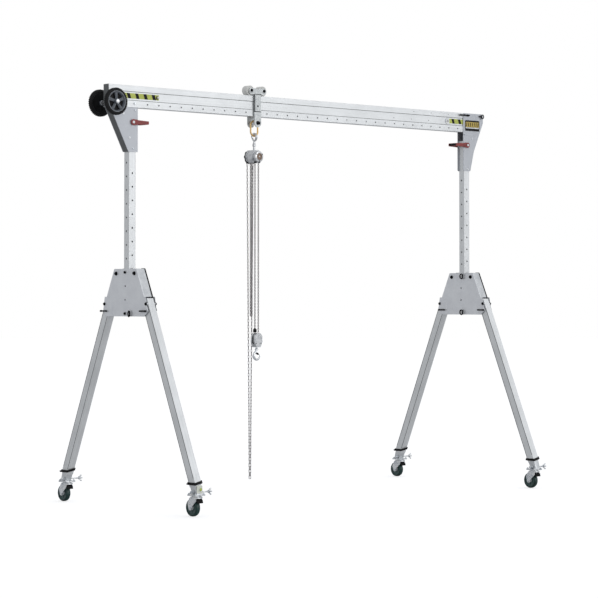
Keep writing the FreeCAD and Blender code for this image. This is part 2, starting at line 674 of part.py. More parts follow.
        edge = "castorWidth / 2"
        section = [(f"-({edge})", "castorAxle + runGap"), (edge, "castorAxle + runGap")]
        section += [(f"{edge} * {v}", f"castorWheel * {u}") for u, v in castorShares]
        section += [(f"-{edge} * {v}", f"castorWheel * {u}") for u, v in reversed(castorShares)]
        wheel = lathe(tag + "CastorWheel", "XZ", "H_Axis", section)
        node(wheel, f"castor_wheel_{side}_{word}", here, f"{footMiddle} + castorTrail", "castorWheel")

# ---- trolley
pinZ = f"{beamUnder} - loadPinDrop"
rollZ = "beamTop + rollerRadius + rollerRest"
plateIn = "beamWidth / 2 + trolleyGap"
plateSpan = f"2 * ({plateIn} + trolleyPlate)"
# The plate's foot is a rounded end below the load pin, given as shares of half its width.
footShares = [(-1, 0), (-0.8, -0.6), (-0.3, -1), (0.3, -1), (0.8, -0.6), (1, 0)]
plateOutline = [(f"trolleyHalf * {u}", f"{pinZ} + trolleyHalf * {v}") for u, v in footShares]
plateOutline += [("trolleyHalf", "beamTop - bandUpper"), ("trolleyFlare", "beamTop + trolleyStep"),
                 ("trolleyFlare", "beamTop + trolleyHead"), ("-trolleyFlare", "beamTop + trolleyHead"),
                 ("-trolleyFlare", "beamTop + trolleyStep"), ("-trolleyHalf", "beamTop - bandUpper")]
trolleyBores = [(0, pinZ, "loadPinRadius + runGap"), ("-rollerHalfStep", rollZ, "rollerAxle + runGap"),
                ("rollerHalfStep", rollZ, "rollerAxle + runGap")]
trolleySlab = prism("trolleySlab", "XZ", plateOutline, plateSpan, trolleyBores)
trolleySlot = block("trolleySlot", ("4 * trolleyFlare", f"2 * ({plateIn})", "2 * beamTop"), (0, 0, "beamTop"))
trolleyPair = cut("trolleyPair", trolleySlab, trolleySlot)
pinSpan = f"{plateSpan} + 2 * trolleyPinProud"
loadPin = rod("loadPin", "y", "loadPinRadius", pinSpan, (0, 0, pinZ))
rollerBars = [rod(word + "RollerBar", "y", "rollerAxle", pinSpan, (f"{sign} * rollerHalfStep", 0, rollZ))
              for word, sign in (("left", "-1"), ("right", "1"))]
node(gather("trolleyWhole", [trolleyPair, loadPin] + rollerBars), "trolley_plates", "trolleyX")
for word, sign in (("left", "-1"), ("right", "1")):
    roller = lathe(word + "Roller", "XY", "V_Axis", [
        ("rollerAxle + runGap", "-rollerWidth / 2"), ("rollerRadius - rollerEdge", "-rollerWidth / 2"),
        ("rollerRadius", "-rollerWidth / 2 + rollerEdge"), ("rollerRadius", "rollerWidth / 2 - rollerEdge"),
        ("rollerRadius - rollerEdge", "rollerWidth / 2"), ("rollerAxle + runGap", "rollerWidth / 2")])
    node(roller, f"roller_{word}", f"trolleyX + {sign} * rollerHalfStep", 0, rollZ)

linkTop = f"{pinZ} + loadPinRadius + linkBar - linkRing"
linkFoot = f"{linkTop} - linkStraight"
topBow = bow("linkTopBow", "linkRing", "linkBar", halfTurn, (0, 0, linkTop), alongX, 90)
footBow = bow("linkFootBow", "linkRing", "linkBar", halfTurn, (0, 0, linkFoot), alongX, -90)
linkMiddle = f"{linkTop} - linkStraight / 2"
linkSides = [rod(word + "LinkSide", "z", "linkBar", "linkStraight", (f"{sign} * linkRing", 0, linkMiddle))
             for word, sign in (("left", "-1"), ("right", "1"))]
node(fuse("linkWhole", [topBow, footBow] + linkSides), "load_link", "trolleyX")

# The top hook hangs over the link's lower bow; the hoist turns about its shank.
seat = f"{linkFoot} - linkRing + linkBar - (hookRing - hookBar)"
topHookBow = bow("topHookBow", "hookRing", "hookBar", hookSweep, (0, 0, seat), zero, 0)
topHookBow.Placement.Rotation = FreeCAD.Rotation(-alongY, -alongZ, alongX, "XYZ")
shankLow = "hoistTop - topShankDepth"
topShank = rod("topShank", "z", "hookBar", f"{seat} - hookRing - ({shankLow})",
               (0, 0, f"({seat} - hookRing + {shankLow}) / 2"))
node(fuse("topHookWhole", [topHookBow, topShank]), "top_hook", "trolleyX")

# ---- chain hoist
drum = prism("hoistDrum", "XZ", [
    ("-hoistRadius * 0.7", "hoistBottom"), ("hoistRadius * 0.7", "hoistBottom"),
    ("hoistRadius", "hoistMiddle - hoistRadius * 0.5"), ("hoistRadius", "hoistMiddle + hoistRadius * 0.4"),
    ("hoistRadius * 0.5", "hoistTop"), ("-hoistRadius * 0.5", "hoistTop"),
    ("-hoistRadius", "hoistMiddle + hoistRadius * 0.4"), ("-hoistRadius", "hoistMiddle - hoistRadius * 0.5")],
    "hoistNear + hoistFar")
place(drum, 0, "(hoistFar - hoistNear) / 2", 0)
gearMiddle = (0, "-hoistNear - gearDepth / 2", "hoistMiddle")
gearCover = rod("gearCover", "y", "gearRadius", "gearDepth", gearMiddle)
shankBore = rod("shankBore", "z", "hookBar + runGap", "2 * (topShankDepth + 5 * bite)", (0, 0, "hoistTop"))
hoist = cut("hoistWhole", fuse("hoistSolid", [drum, gearCover]), shankBore)
node(hoist, "hoist_body", "trolleyX")
handMiddle = (0, "hoistFar + handWheelDepth / 2", "hoistMiddle")
handCover = rod("handCover", "y", "handWheel", "handWheelDepth", handMiddle)
guides = [block(word + "Guide", ("guideAcross", "guideDeep", "guideHigh"),
                (f"{sign} * handTopHalf", "hoistFar + handWheelDepth / 2", "handTop + guideHigh / 2"))
          for word, sign in (("left", "-1"), ("right", "1"))]
node(fuse("handCoverWhole", [handCover] + guides), "hoist_hand_cover", "trolleyX")

falls = [rod(word + "Fall", "z", "chainRadius", "hoistBottom - blockTop",
             (f"{sign} * fallHalf", "fallY", "(hoistBottom + blockTop) / 2"))
         for word, sign in (("left", "-1"), ("right", "1"))]
slack = [rod(word + "Slack", "z", "chainRadius", "hoistBottom - slackBottom",
             (f"slackX + {sign} * slackHalf", "slackY", "(hoistBottom + slackBottom) / 2"))
         for word, sign in (("left", "-1"), ("right", "1"))]
slackFoot = ("slackX", "slackY", "slackBottom")
slackBow = bow("slackBow", "slackHalf", "chainRadius", halfTurn, slackFoot, alongX, -90)
loop = fuse("slackLoop", slack + [slackBow])
node(gather("loadChainWhole", falls + [loop]), "load_chain", "trolleyX")

strands = []
for word, sign in (("left", "-1"), ("right", "1")):
    strands.append(prism(word + "Strand", "XZ", [
        (f"{sign} * (handFootHalf - handRadius)", "handBottom"),
        (f"{sign} * (handFootHalf + handRadius)", "handBottom"),
        (f"{sign} * (handTopHalf + handRadius)", "handTop"),
        (f"{sign} * (handTopHalf - handRadius)", "handTop")], "2 * handRadius"))
footSizes = ("2 * (handFootHalf + handRadius)", "2 * handRadius", "2 * handRadius")
foot = block("handFoot", footSizes, (0, 0, "handBottom"))
node(fuse("handChainWhole", strands + [foot]), "hand_chain", "trolleyX", "handY")

blockOutline = [("-blockHalf * 0.55", "blockTop"), ("-blockHalf", "blockTop - blockHalf * 0.5"),
                ("-blockHalf", "blockBottom + blockHalf"), ("-blockHalf * 0.45", "blockBottom"),
                ("blockHalf * 0.45", "blockBottom"), ("blockHalf", "blockBottom + blockHalf"),
                ("blockHalf", "blockTop - blockHalf * 0.5"), ("blockHalf * 0.55", "blockTop")]
blockSolid = prism("blockSolid", "XZ", blockOutline, "blockDepth")
boreLength = "2 * (loadShankDepth + 4 * bite)"
blockBore = rod("blockBore", "z", "loadShank + runGap", boreLength, (0, 0, "blockBottom"))
node(cut("blockWhole", blockSolid, blockBore), "hook_block", "trolleyX", "fallY")

# ---- load hook and its latch
hookBowl = bow("hookBowl", "loadHookRing", "loadHookBar", hookSweep, (0, 0, "loadHookMiddle"), zero, 0)
hookBowl.Placement.Rotation = FreeCAD.Rotation(alongZ, -alongX, alongY, "XYZ")
shankTop = "blockBottom + loadShankDepth"
hookShank = rod("hookShank", "z", "loadShank", f"{shankTop} - loadHookMiddle - loadHookRing",
                (0, 0, f"({shankTop} + loadHookMiddle + loadHookRing) / 2"))
node(fuse("loadHookWhole", [hookBowl, hookShank]), "load_hook", "trolleyX", "fallY")
# The latch turns on a barrel beside the bowl's start and closes against the tip's inner edge.
latchZ = "loadHookMiddle + loadHookRing - latchUnder"
flapShares = [(0.1, -0.8), (0.8, -0.2), (4.8, -4.8), (4, -5.4)]
flapOutline = [(f"latchBarrel * {u}", f"latchBarrel * {v}") for u, v in flapShares]
barrel = rod("latchBar", "y", "latchBarrel", "latchBarrelLength", (0, 0, 0))
flap = prism("latchFlap", "XZ", flapOutline, "latchWide")
node(fuse("latchWhole", [barrel, flap]), "hook_latch", "trolleyX + latchAside", "fallY", latchZ)

doc.removeObject(gauge.Name)
doc.recompute()

for thing in doc.Objects:
    if "Invalid" in thing.State or "Error" in thing.State:
        raise RuntimeError(f"{thing.Label}: {thing.State}")
for thing in nodes:
    if thing.Shape.isNull() or not thing.Shape.isValid():
        raise RuntimeError(f"{thing.Label} has no valid shape")

os.makedirs("parts", exist_ok=True)
for thing in nodes:
    thing.Shape.exportStep(f"parts/{thing.Label}.step")
    print(thing.Label, len(thing.Shape.Solids), [round(v, 1) for v in (
        thing.Shape.BoundBox.XMin, thing.Shape.BoundBox.XMax, thing.Shape.BoundBox.YMin,
        thing.Shape.BoundBox.YMax, thing.Shape.BoundBox.ZMin, thing.Shape.BoundBox.ZMax)],
        round(thing.Shape.Volume / 1000))
print(len(nodes), "nodes")
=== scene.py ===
import bmesh
import bpy
import json
import math
from mathutils import Matrix, Vector


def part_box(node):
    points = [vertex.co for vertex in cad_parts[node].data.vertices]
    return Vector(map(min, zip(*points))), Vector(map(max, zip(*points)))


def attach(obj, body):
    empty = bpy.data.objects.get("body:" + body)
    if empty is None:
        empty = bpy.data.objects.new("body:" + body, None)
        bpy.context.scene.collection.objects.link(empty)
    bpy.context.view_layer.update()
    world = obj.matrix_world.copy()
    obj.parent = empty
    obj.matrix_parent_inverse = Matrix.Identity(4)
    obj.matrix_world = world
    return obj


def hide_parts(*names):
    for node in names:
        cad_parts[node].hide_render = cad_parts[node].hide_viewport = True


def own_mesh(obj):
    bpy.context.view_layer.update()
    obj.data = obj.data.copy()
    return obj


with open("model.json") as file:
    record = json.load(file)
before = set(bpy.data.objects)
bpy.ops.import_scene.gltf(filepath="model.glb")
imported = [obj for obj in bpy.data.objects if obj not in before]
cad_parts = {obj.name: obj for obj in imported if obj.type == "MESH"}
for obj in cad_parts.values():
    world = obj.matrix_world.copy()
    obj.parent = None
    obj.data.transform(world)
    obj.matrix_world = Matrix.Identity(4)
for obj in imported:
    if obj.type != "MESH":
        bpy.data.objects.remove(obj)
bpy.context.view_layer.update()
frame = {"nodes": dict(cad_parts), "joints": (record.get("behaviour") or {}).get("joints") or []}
nodes = frame["nodes"]
joints = {joint["name"]: joint for joint in frame["joints"]}
mm = 0.001
# minus is towards the transport wheels along X, and towards the front along Y
sides = {"left": -1, "right": 1}
ends = {"near": -1, "far": 1}
print("frame loaded:", len(nodes), "nodes")


def pivotOf(joint):
    return Vector(joints[joint]["pos_m"])


def middleOf(node):
    low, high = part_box(node)
    return (low + high) / 2


def turnTo(direction):
    # rotation that takes +Z to a direction
    return Vector((0, 0, 1)).rotation_difference(Vector(direction)).to_matrix().to_4x4()


def moveAll(bm, place):
    bmesh.ops.transform(bm, matrix=place, verts=bm.verts)


def finishPiece(name, bm, finishes, body, standsFor=(), bevel=0.0, segments=2, smooth=35):
    # turns a bmesh into a piece with its finishes, and lets it ride on a body
    bmesh.ops.recalc_face_normals(bm, faces=bm.faces)
    mesh = bpy.data.meshes.new(name)
    bm.to_mesh(mesh)
    bm.free()
    piece = bpy.data.objects.new(name, mesh)
    bpy.context.scene.collection.objects.link(piece)
    for finish in finishes:
        mesh.materials.append(finish)
    for face in mesh.polygons:
        face.use_smooth = True
    mesh.set_sharp_from_angle(angle=math.radians(smooth))
    if bevel:
        rounding = piece.modifiers.new("edges", "BEVEL")
        rounding.width = bevel * mm
        rounding.segments = segments
        rounding.limit_method = "ANGLE"
        rounding.angle_limit = math.radians(smooth)
        rounding.harden_normals = True
    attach(piece, body)
    if standsFor:
        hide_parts(*standsFor)
    return piece


def addBlock(bm, middle, size, turn=Matrix.Identity(4), finish=0):
    place = Matrix.Translation(Vector(middle)) @ turn @ Matrix.Diagonal((*size, 1))
    made = bmesh.ops.create_cube(bm, size=1, matrix=place)
    for face in {f for v in made["verts"] for f in v.link_faces}:
        face.material_index = finish


def addTurned(bm, profile, middle=(0, 0, 0), axis=(0, 0, 1), steps=32, closed=False, finish=0):
    # profile is a list of (along, radius), and a closed one makes a ring
    place = Matrix.Translation(Vector(middle)) @ turnTo(axis)
    rows = []
    for along, radius in profile:
        count = steps if radius > 1e-6 else 1
        rows.append([bm.verts.new(place @ Vector((radius * math.cos(2 * math.pi * k / steps),
                                                  radius * math.sin(2 * math.pi * k / steps), along)))
                     for k in range(count)])
    pairs = list(zip(rows, rows[1:])) + ([(rows[-1], rows[0])] if closed else [])
    for first, second in pairs:
        for k in range(steps):
            n = (k + 1) % steps
            ring = [first[k % len(first)], first[n % len(first)], second[n % len(second)], second[k % len(second)]]
            ring = list(dict.fromkeys(ring))
            if len(ring) > 2:
                bm.faces.new(ring).material_index = finish
    if not closed:
        for row in (rows[0], rows[-1]):
            if len(row) > 1:
                bm.faces.new(row).material_index = finish


def addRod(bm, middle, axis, radius, length, steps=20, chamfer=0.0, finish=0):
    half = length / 2
    profile = [(-half, radius), (half, radius)]
    if chamfer:
        profile = [(-half, radius - chamfer), (chamfer - half, radius), (half - chamfer, radius), (half, radius - chamfer)]
    addTurned(bm, profile, middle, axis, steps, finish=finish)


def addPlate(bm, outline, plane, low, high, finish=0):
    # flat plate with an outline in a plane, from low to high across it
    place = {"yz": lambda u, v, w: (w, u, v), "xz": lambda u, v, w: (u, w, v), "xy": lambda u, v, w: (u, v, w)}[plane]
    bottom = [bm.verts.new(place(u, v, low)) for u, v in outline]
    top = [bm.verts.new(place(u, v, high)) for u, v in outline]
    made = [bm.faces.new(bottom), bm.faces.new(top)]
    for k in range(len(outline)):
        n = (k + 1) % len(outline)
        made.append(bm.faces.new((bottom[k], bottom[n], top[n], top[k])))
    for face in made:
        face.material_index = finish


def addTube(bm, points, radii, steps=12, closed=False, finish=0):
    # round bar along a line of points, with one radius or one for each point
    points = [Vector(p) for p in points]
    count = len(points)
    radii = radii if isinstance(radii, list) else [radii] * count
    tangents = []
    for k in range(count):
        before = points[k - 1] if closed or k else points[k]
        after = points[(k + 1) % count] if closed or k < count - 1 else points[k]
        tangents.append((after - before).normalized())
    side = tangents[0].orthogonal().normalized()
    rows = []
    for k in range(count):
        if k:
            side = tangents[k - 1].rotation_difference(tangents[k]) @ side
        other = tangents[k].cross(side)
        rows.append([bm.verts.new(points[k] + (side * math.cos(a) + other * math.sin(a)) * radii[k])
                     for a in (2 * math.pi * s / steps for s in range(steps))])
    pairs = list(zip(rows, rows[1:])) + ([(rows[-1], rows[0])] if closed else [])
    for first, second in pairs:
        for s in range(steps):
            n = (s + 1) % steps
            bm.faces.new((first[s], first[n], second[n], second[s])).material_index = finish
    if not closed:
        for row in (rows[0], rows[-1]):
            bm.faces.new(row).material_index = finish


def rounded(corners, radius, steps=5):
    # outline whose corners are replaced by arcs, all of one radius or each of its own
    out = []
    for k, corner in enumerate(corners):
        here = Vector(corner)
        before = Vector(corners[k - 1]) - here
        after = Vector(corners[(k + 1) % len(corners)]) - here
        half = before.angle(after) / 2
        size = radius[k] if isinstance(radius, list) else radius
        if size < 1e-6:
            out.append(corner)
            continue
        reach = min(size / math.tan(half), before.length * 0.49, after.length * 0.49)
        centre = here + (before.normalized() + after.normalized()).normalized() * (reach / math.cos(half))
        first = here + before.normalized() * reach - centre
        last = here + after.normalized() * reach - centre
        start = math.atan2(first.y, first.x)
        sweep = math.remainder(math.atan2(last.y, last.x) - start, 2 * math.pi)
        for s in range(steps + 1):
            angle = start + sweep * s / steps
            out.append((centre.x + first.length * math.cos(angle), centre.y + first.length * math.sin(angle)))
    return out


def addHexBolt(bm, spot, direction, width, height, washer=1.3, stub=0.0, finish=0):
    # washer, six-sided head with a chamfered crown, and an end of thread where one shows
    direction = Vector(direction).normalized()
    radius = width / 2 / math.cos(math.pi / 6)
    spot = Vector(spot)
    thin = width * 0.1
    addTurned(bm, [(0, radius * washer), (thin * 0.6, radius * washer), (thin, radius * washer - thin * 0.4)],
              spot, direction, 28, finish=finish)
    place = Matrix.Translation(spot) @ turnTo(direction)
    rings = []
    for along, scale in ((thin, 1.0), (thin + height * 0.8, 1.0), (thin + height, 0.84)):
        rings.append([bm.verts.new(place @ Vector((radius * scale * math.cos(math.pi * k / 3),
                                                   radius * scale * math.sin(math.pi * k / 3), along)))
                      for k in range(6)])
    for first, second in zip(rings, rings[1:]):
        for k in range(6):
            bm.faces.new((first[k], first[(k + 1) % 6], second[(k + 1) % 6], second[k])).material_index = finish
    for ring in (rings[0], rings[-1]):
        bm.faces.new(ring).material_index = finish
    if stub:
        addRod(bm, spot + direction * (thin + height + stub / 2), direction, width * 0.28, stub, 16, width * 0.04, finish)


def linearColour(code):
    parts = [int(code[k:k + 2], 16) / 255 for k in (0, 2, 4)]
    return tuple(c / 12.92 if c <= 0.04045 else ((c + 0.055) / 1.055) ** 2.4 for c in parts) + (1.0,)


def addNode(tree, kind, settings=None, links=None):
    # settings go to inputs or to the node itself, and stops are a ramp's (place, hex colour) pairs
    node = tree.nodes.new(kind)
    for name, value in (settings or {}).items():
        if name == "stops":
            while len(node.color_ramp.elements) < len(value):
                node.color_ramp.elements.new(1.0)
            for element, (spot, code) in zip(node.color_ramp.elements, value):
                element.position = spot
                element.color = linearColour(code)
        elif isinstance(name, int) or name in node.inputs:
            node.inputs[name].default_value = value
        else:
            setattr(node, name, value)
    for name, source in (links or {}).items():
        tree.links.new(source, node.inputs[name])
    return node


def startFinish(name, shader):
    # a new finish with its shader, and the place on the object in metres
    finish = bpy.data.materials.new(name)
    finish.use_nodes = True
    tree = finish.node_tree
    tree.nodes.clear()
    surface = addNode(tree, "ShaderNodeBsdfPrincipled", shader)
    addNode(tree, "ShaderNodeOutputMaterial", links={"Surface": surface.outputs["BSDF"]})
    place = addNode(tree, "ShaderNodeTexCoord").outputs["Object"]
    return finish, tree, surface, place


def perMetre(size):
    # texture scale that gives features of about this many millimetres
    return 1000 / size


extrusionLook = {
    "metallic": 0.72,
    "light": "e9ebec",
    "deep": "dcdedf",
    "gloss": (0.38, 0.47),    # least and most roughness
    "dieLine": 7,             # real ones are under a millimetre apart; drawn wider so that they show
    "dieLength": 1400,
    "cloud": 160,
    "relief": 0.03,
}


def extrudedAluminium(name, along, tilt=0.0):
    # natural anodised extrusion: pale and satin, with faint die lines along the bar and slow clouding
    look = extrusionLook
    finish, tree, surface, place = startFinish(name, {"Metallic": look["metallic"]})
    fine = perMetre(look["dieLine"])
    long = perMetre(look["dieLength"])
    scale = {"x": (long, fine, fine), "z": (fine, fine, long)}[along]
    turned = addNode(tree, "ShaderNodeMapping", {"Rotation": (tilt, 0, 0)}, {"Vector": place})
    stretched = addNode(tree, "ShaderNodeMapping", {"Scale": scale}, {"Vector": turned.outputs[0]})
    lines = addNode(tree, "ShaderNodeTexNoise", {"Scale": 1.0, "Detail": 3.0, "Roughness": 0.6},
                    {"Vector": stretched.outputs[0]})
    cloud = addNode(tree, "ShaderNodeTexNoise", {"Scale": perMetre(look["cloud"]), "Detail": 4.0}, {"Vector": place})
    half = addNode(tree, "ShaderNodeMath", {"operation": "MULTIPLY", 1: 0.5}, {0: cloud.outputs["Fac"]})
    tone = addNode(tree, "ShaderNodeMath", {"operation": "MULTIPLY_ADD", 1: 0.5},
                   {0: lines.outputs["Fac"], 2: half.outputs[0]})
    colour = addNode(tree, "ShaderNodeValToRGB", {"stops": [(0.38, look["deep"]), (0.6, look["light"])]},
                     {"Fac": tone.outputs[0]})
    tree.links.new(colour.outputs["Color"], surface.inputs["Base Color"])
    gloss = addNode(tree, "ShaderNodeMapRange", {"From Min": 0.3, "From Max": 0.7, "To Min": look["gloss"][0],
                                                 "To Max": look["gloss"][1]}, {"Value": tone.outputs[0]})
    tree.links.new(gloss.outputs[0], surface.inputs["Roughness"])
    relief = addNode(tree, "ShaderNodeBump", {"Strength": 0.3, "Distance": look["relief"] * mm},
                     {"Height": lines.outputs["Fac"]})
    tree.links.new(relief.outputs["Normal"], surface.inputs["Normal"])
    return finish


def mottledFinish(name, light, deep, gloss, cloud, grain, relief, metallic=0.0, coat=0.0, contrast=0.22, sheen=0.5):
    # a base tone that clouds slowly, with a fine tooth in its gloss and relief; sizes are in millimetres
    finish, tree, surface, place = startFinish(name, {"Metallic": metallic, "Coat Weight": coat,
                                                      "Coat Roughness": 0.15, "Specular IOR Level": sheen})
    slow = addNode(tree, "ShaderNodeTexNoise", {"Scale": perMetre(cloud), "Detail": 5.0, "Roughness": 0.6},
                   {"Vector": place})
    fine = addNode(tree, "ShaderNodeTexNoise", {"Scale": perMetre(grain), "Detail": 2.0}, {"Vector": place})
    part = addNode(tree, "ShaderNodeMath", {"operation": "MULTIPLY", 1: 1 - contrast}, {0: slow.outputs["Fac"]})
    tone = addNode(tree, "ShaderNodeMath", {"operation": "MULTIPLY_ADD", 1: contrast},
                   {0: fine.outputs["Fac"], 2: part.outputs[0]})
    colour = addNode(tree, "ShaderNodeValToRGB", {"stops": [(0.36, deep), (0.62, light)]}, {"Fac": tone.outputs[0]})
    tree.links.new(colour.outputs["Color"], surface.inputs["Base Color"])
    rough = addNode(tree, "ShaderNodeMapRange", {"From Min": 0.3, "From Max": 0.7, "To Min": gloss[0],
                                                 "To Max": gloss[1]}, {"Value": tone.outputs[0]})
    tree.links.new(rough.outputs[0], surface.inputs["Roughness"])
    bump = addNode(tree, "ShaderNodeBump", {"Strength": 0.4, "Distance": relief * mm}, {"Height": fine.outputs["Fac"]})
    tree.links.new(bump.outputs["Normal"], surface.inputs["Normal"])
    return finish


def zincPlating(name, light, deep, tint, gloss=(0.22, 0.42), spangle=7):
    # electroplated steel: cool bright metal with a faint crystalline spangle and a slight colour drift
    finish, tree, surface, place = startFinish(name, {"Metallic": 1.0})
    cells = addNode(tree, "ShaderNodeTexVoronoi", {"Scale": perMetre(spangle)}, {"Vector": place})
    drift = addNode(tree, "ShaderNodeTexNoise", {"Scale": perMetre(35), "Detail": 3.0}, {"Vector": place})
    grey = addNode(tree, "ShaderNodeSeparateColor", links={"Color": cells.outputs["Color"]})
    part = addNode(tree, "ShaderNodeMath", {"operation": "MULTIPLY", 1: 0.35}, {0: grey.outputs[0]})
    tone = addNode(tree, "ShaderNodeMath", {"operation": "MULTIPLY_ADD", 1: 0.65},
                   {0: drift.outputs["Fac"], 2: part.outputs[0]})
    colour = addNode(tree, "ShaderNodeValToRGB", {"stops": [(0.3, deep), (0.5, light), (0.72, tint)]},
                     {"Fac": tone.outputs[0]})
    tree.links.new(colour.outputs["Color"], surface.inputs["Base Color"])
    rough = addNode(tree, "ShaderNodeMapRange", {"From Min": 0.3, "From Max": 0.7, "To Min": gloss[0],
                                                 "To Max": gloss[1]}, {"Value": tone.outputs[0]})
    tree.links.new(rough.outputs[0], surface.inputs["Roughness"])
    return finish


beamAluminium = extrudedAluminium("anodised extrusion along the beam", "x")
postAluminium = extrudedAluminium("anodised extrusion up the posts", "z")
legSplay = math.radians(23.24)
legAluminium = {end: extrudedAluminium("anodised extrusion of the " + end + " legs", "z", -sign * legSplay)
                for end, sign in ends.items()}
# blasted and anodised sheet: an even mid grey with soft clouds and a fine tooth
plateAluminium = mottledFinish("blasted aluminium sheet", "eceef1", "e2e4e8", (0.42, 0.54), 110, 2.4, 0.05, metallic=0.6)
# painted shade: the same sheet, made a shade darker on the heads
headAluminiumShaded = mottledFinish("blasted head sheet with painted shade", "c2c5ca", "b8bbc0", (0.42, 0.54), 110, 2.4, 0.05, metallic=0.6)
# the same sheet, handled and duller, on the trolley
trolleyAluminium = mottledFinish("handled aluminium plate", "dee1e1", "b4b8b9", (0.36, 0.52), 12, 2.4, 0.05, metallic=0.5)
# plain mill finish sheet: paler and smoother
millAluminium = mottledFinish("mill finish aluminium", "dcdee0", "c6c9cc", (0.3, 0.46), 60, 3, 0.03, metallic=0.75)
# powder coat: dark, even, with a slight orange peel; the same dark colour also paints the groove shade along the beam
# and legs
graphiteCoatAndShade = mottledFinish("graphite powder coat and painted groove shade", "686a6b", "5c5e5f", (0.48, 0.6), 70, 1.6, 0.08)
# moulded polyamide: dull sheen from the mould's spark texture
blackPlastic = mottledFinish("moulded black polyamide", "121213", "0a0a0b", (0.42, 0.58), 30, 1.2, 0.05, sheen=0.2)
# solid rubber: almost black, broad soft gloss and dusty patches
solidRubber = mottledFinish("moulded black rubber", "181819", "0e0e0f", (0.5, 0.7), 40, 2, 0.12, sheen=0.25)
# cast elastic rubber of the castor treads, a very dark green
elasticRubber = mottledFinish("cast green elastic rubber", "1c3f3c", "102825", (0.3, 0.45), 30, 2, 0.08, sheen=0.4)
# dark green nylon of the castor centres
greenNylon = mottledFinish("moulded green nylon", "4d6462", "3c5150", (0.34, 0.5), 30, 2, 0.05)
# moulded polypropylene of the transport wheel centres
rimPlastic = mottledFinish("moulded grey polypropylene", "5f646b", "4f545b", (0.3, 0.45), 35, 1.5, 0.04)
# painted highlight: a paler copy of the same centres' plastic, on a ring at their outer edge
rimHighlight = mottledFinish("grey polypropylene painted highlight", "babec3", "979ca2", (0.4, 0.55), 12, 1.5, 0.04)
# stove enamel on pressed steel: glossy, with a faint peel
redEnamel = mottledFinish("red enamel", "9c3a37", "6f2a29", (0.3, 0.45), 30, 2, 0.03)
# nickel plated die casting: brighter than zinc, with a soft cast skin
nickelCasting = mottledFinish("nickel plated die casting", "e0e1e2", "bfc1c4", (0.22, 0.36), 26, 4, 0.1, metallic=0.9)
# brown anodised ring round the gear cover's middle
bronzeRing = mottledFinish("bronze anodised ring", "87766a", "6f5f54", (0.3, 0.42), 12, 2, 0.04, metallic=0.8)
# turned nylon: white, waxy sheen
turnedNylon = mottledFinish("turned white nylon", "e6e6e3", "d5d5d1", (0.34, 0.48), 40, 2, 0.03, coat=0.1)
# self-adhesive film in warning colours
tapeYellow = mottledFinish("yellow green marking film", "c3cc62", "b3bc52", (0.34, 0.46), 30, 2, 0.02)
tapeBlack = mottledFinish("black marking film", "0e0e0f", "080809", (0.34, 0.46), 30, 2, 0.02, sheen=0.2)
panelYellow = mottledFinish("yellow blank plate", "cdb45c", "b79d47", (0.34, 0.46), 24, 2, 0.02)
oliveRubber = mottledFinish("olive brown rubber buffer", "6d6644", "574f35", (0.5, 0.64), 20, 2, 0.05)
levelGreen = mottledFinish("yellow green level vial", "bccb5e", "a9b84a", (0.2, 0.3), 12, 2, 0.01, coat=0.5)
paleLabel = mottledFinish("pale plastic level body", "e4e6da", "d6d9c9", (0.36, 0.5), 16, 2, 0.02)
zincSteel = zincPlating("bright zinc plated steel", "eceff2", "b9bfc6", "f4f4f2")
# blackened steel; the same dark colour also paints shade on the trolley's step, shoulder and side gap and in the hand
# cover's slots
blackSteelAndShade = zincPlating("blackened steel and painted shade", "1c1c1e", "111113", "232427", (0.4, 0.55))
goldSteel = zincPlating("yellow passivated steel", "eccb8c", "d9ac66", "e6bc84", (0.28, 0.42), 5)
chainSteel = zincPlating("plated chain steel", "8b8587", "5d595b", "9c9694", (0.26, 0.42), 4)
print("finishes made:", len(bpy.data.materials))


def giveFinish(node, finish):
    for place in nodes[node].material_slots:
        place.link = "OBJECT"
        place.material = finish


giveFinish("beam", beamAluminium)
for side in sides:
    giveFinish("post_" + side, postAluminium)
    giveFinish("frame_plates_" + side, plateAluminium)
    giveFinish("frame_core_" + side, millAluminium)
    giveFinish("head_plates_" + side, headAluminiumShaded)
    giveFinish("head_closing_" + side, graphiteCoatAndShade)
    for end in ends:
        giveFinish("leg_" + side + "_" + end, legAluminium[end])
print("finishes given to the kept frame nodes")

beamLow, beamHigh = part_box("beam")
midY = pivotOf("lever_turn_left").y
postX = {side: pivotOf("lever_turn_" + side).x for side in sides}
headInner = {"left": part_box("head_plates_left")[1].x, "right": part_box("head_plates_right")[0].x}
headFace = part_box("head_plates_right")[1].y - midY

tape = {
    "height": 39,
    "rise": 65,       # its lower edge above the beam's underside
    "thick": 0.4,
    "pitch": 76,
    "black": 29,
    "lean": 13,
    "recess": 27.5,   # recessed side face from the beam's middle
    "left": (-121, 244, -128),    # ends and first black bar, from the post's centre along X
    "right": (-210, -20, -180),
}


def addTape(side, end):
    bm = bmesh.new()
    start, stop, spot = (postX[side] + r * mm for r in tape[side])
    low = beamLow.z + tape["rise"] * mm
    high = low + tape["height"] * mm
    face = midY + ends[end] * tape["recess"] * mm
    back = face + ends[end] * tape["thick"] * mm
    lean = tape["lean"] * mm
    edges = []
    while spot < stop - lean:
        edges += [spot, min(spot + tape["black"] * mm, stop - lean)]
        spot += tape["pitch"] * mm
    cuts = [(start, start)] + [(e + lean, e) for e in edges] + [(stop, stop)]
    for k, (here, there) in enumerate(zip(cuts, cuts[1:])):
        addPlate(bm, [(here[0], low), (there[0], low), (there[1], high), (here[1], high)], "xz",
                 min(face, back), max(face, back), k % 2)
    finishPiece("marking_tape_" + side + "_" + end, bm, [tapeYellow, tapeBlack], "mast")


# sizes of the dark strips that paint the grooves' shade along the beam
grooveShade = {"upper": 43, "lower": 50, "tall": 3.6, "inside": 27, "outside": 28.4}


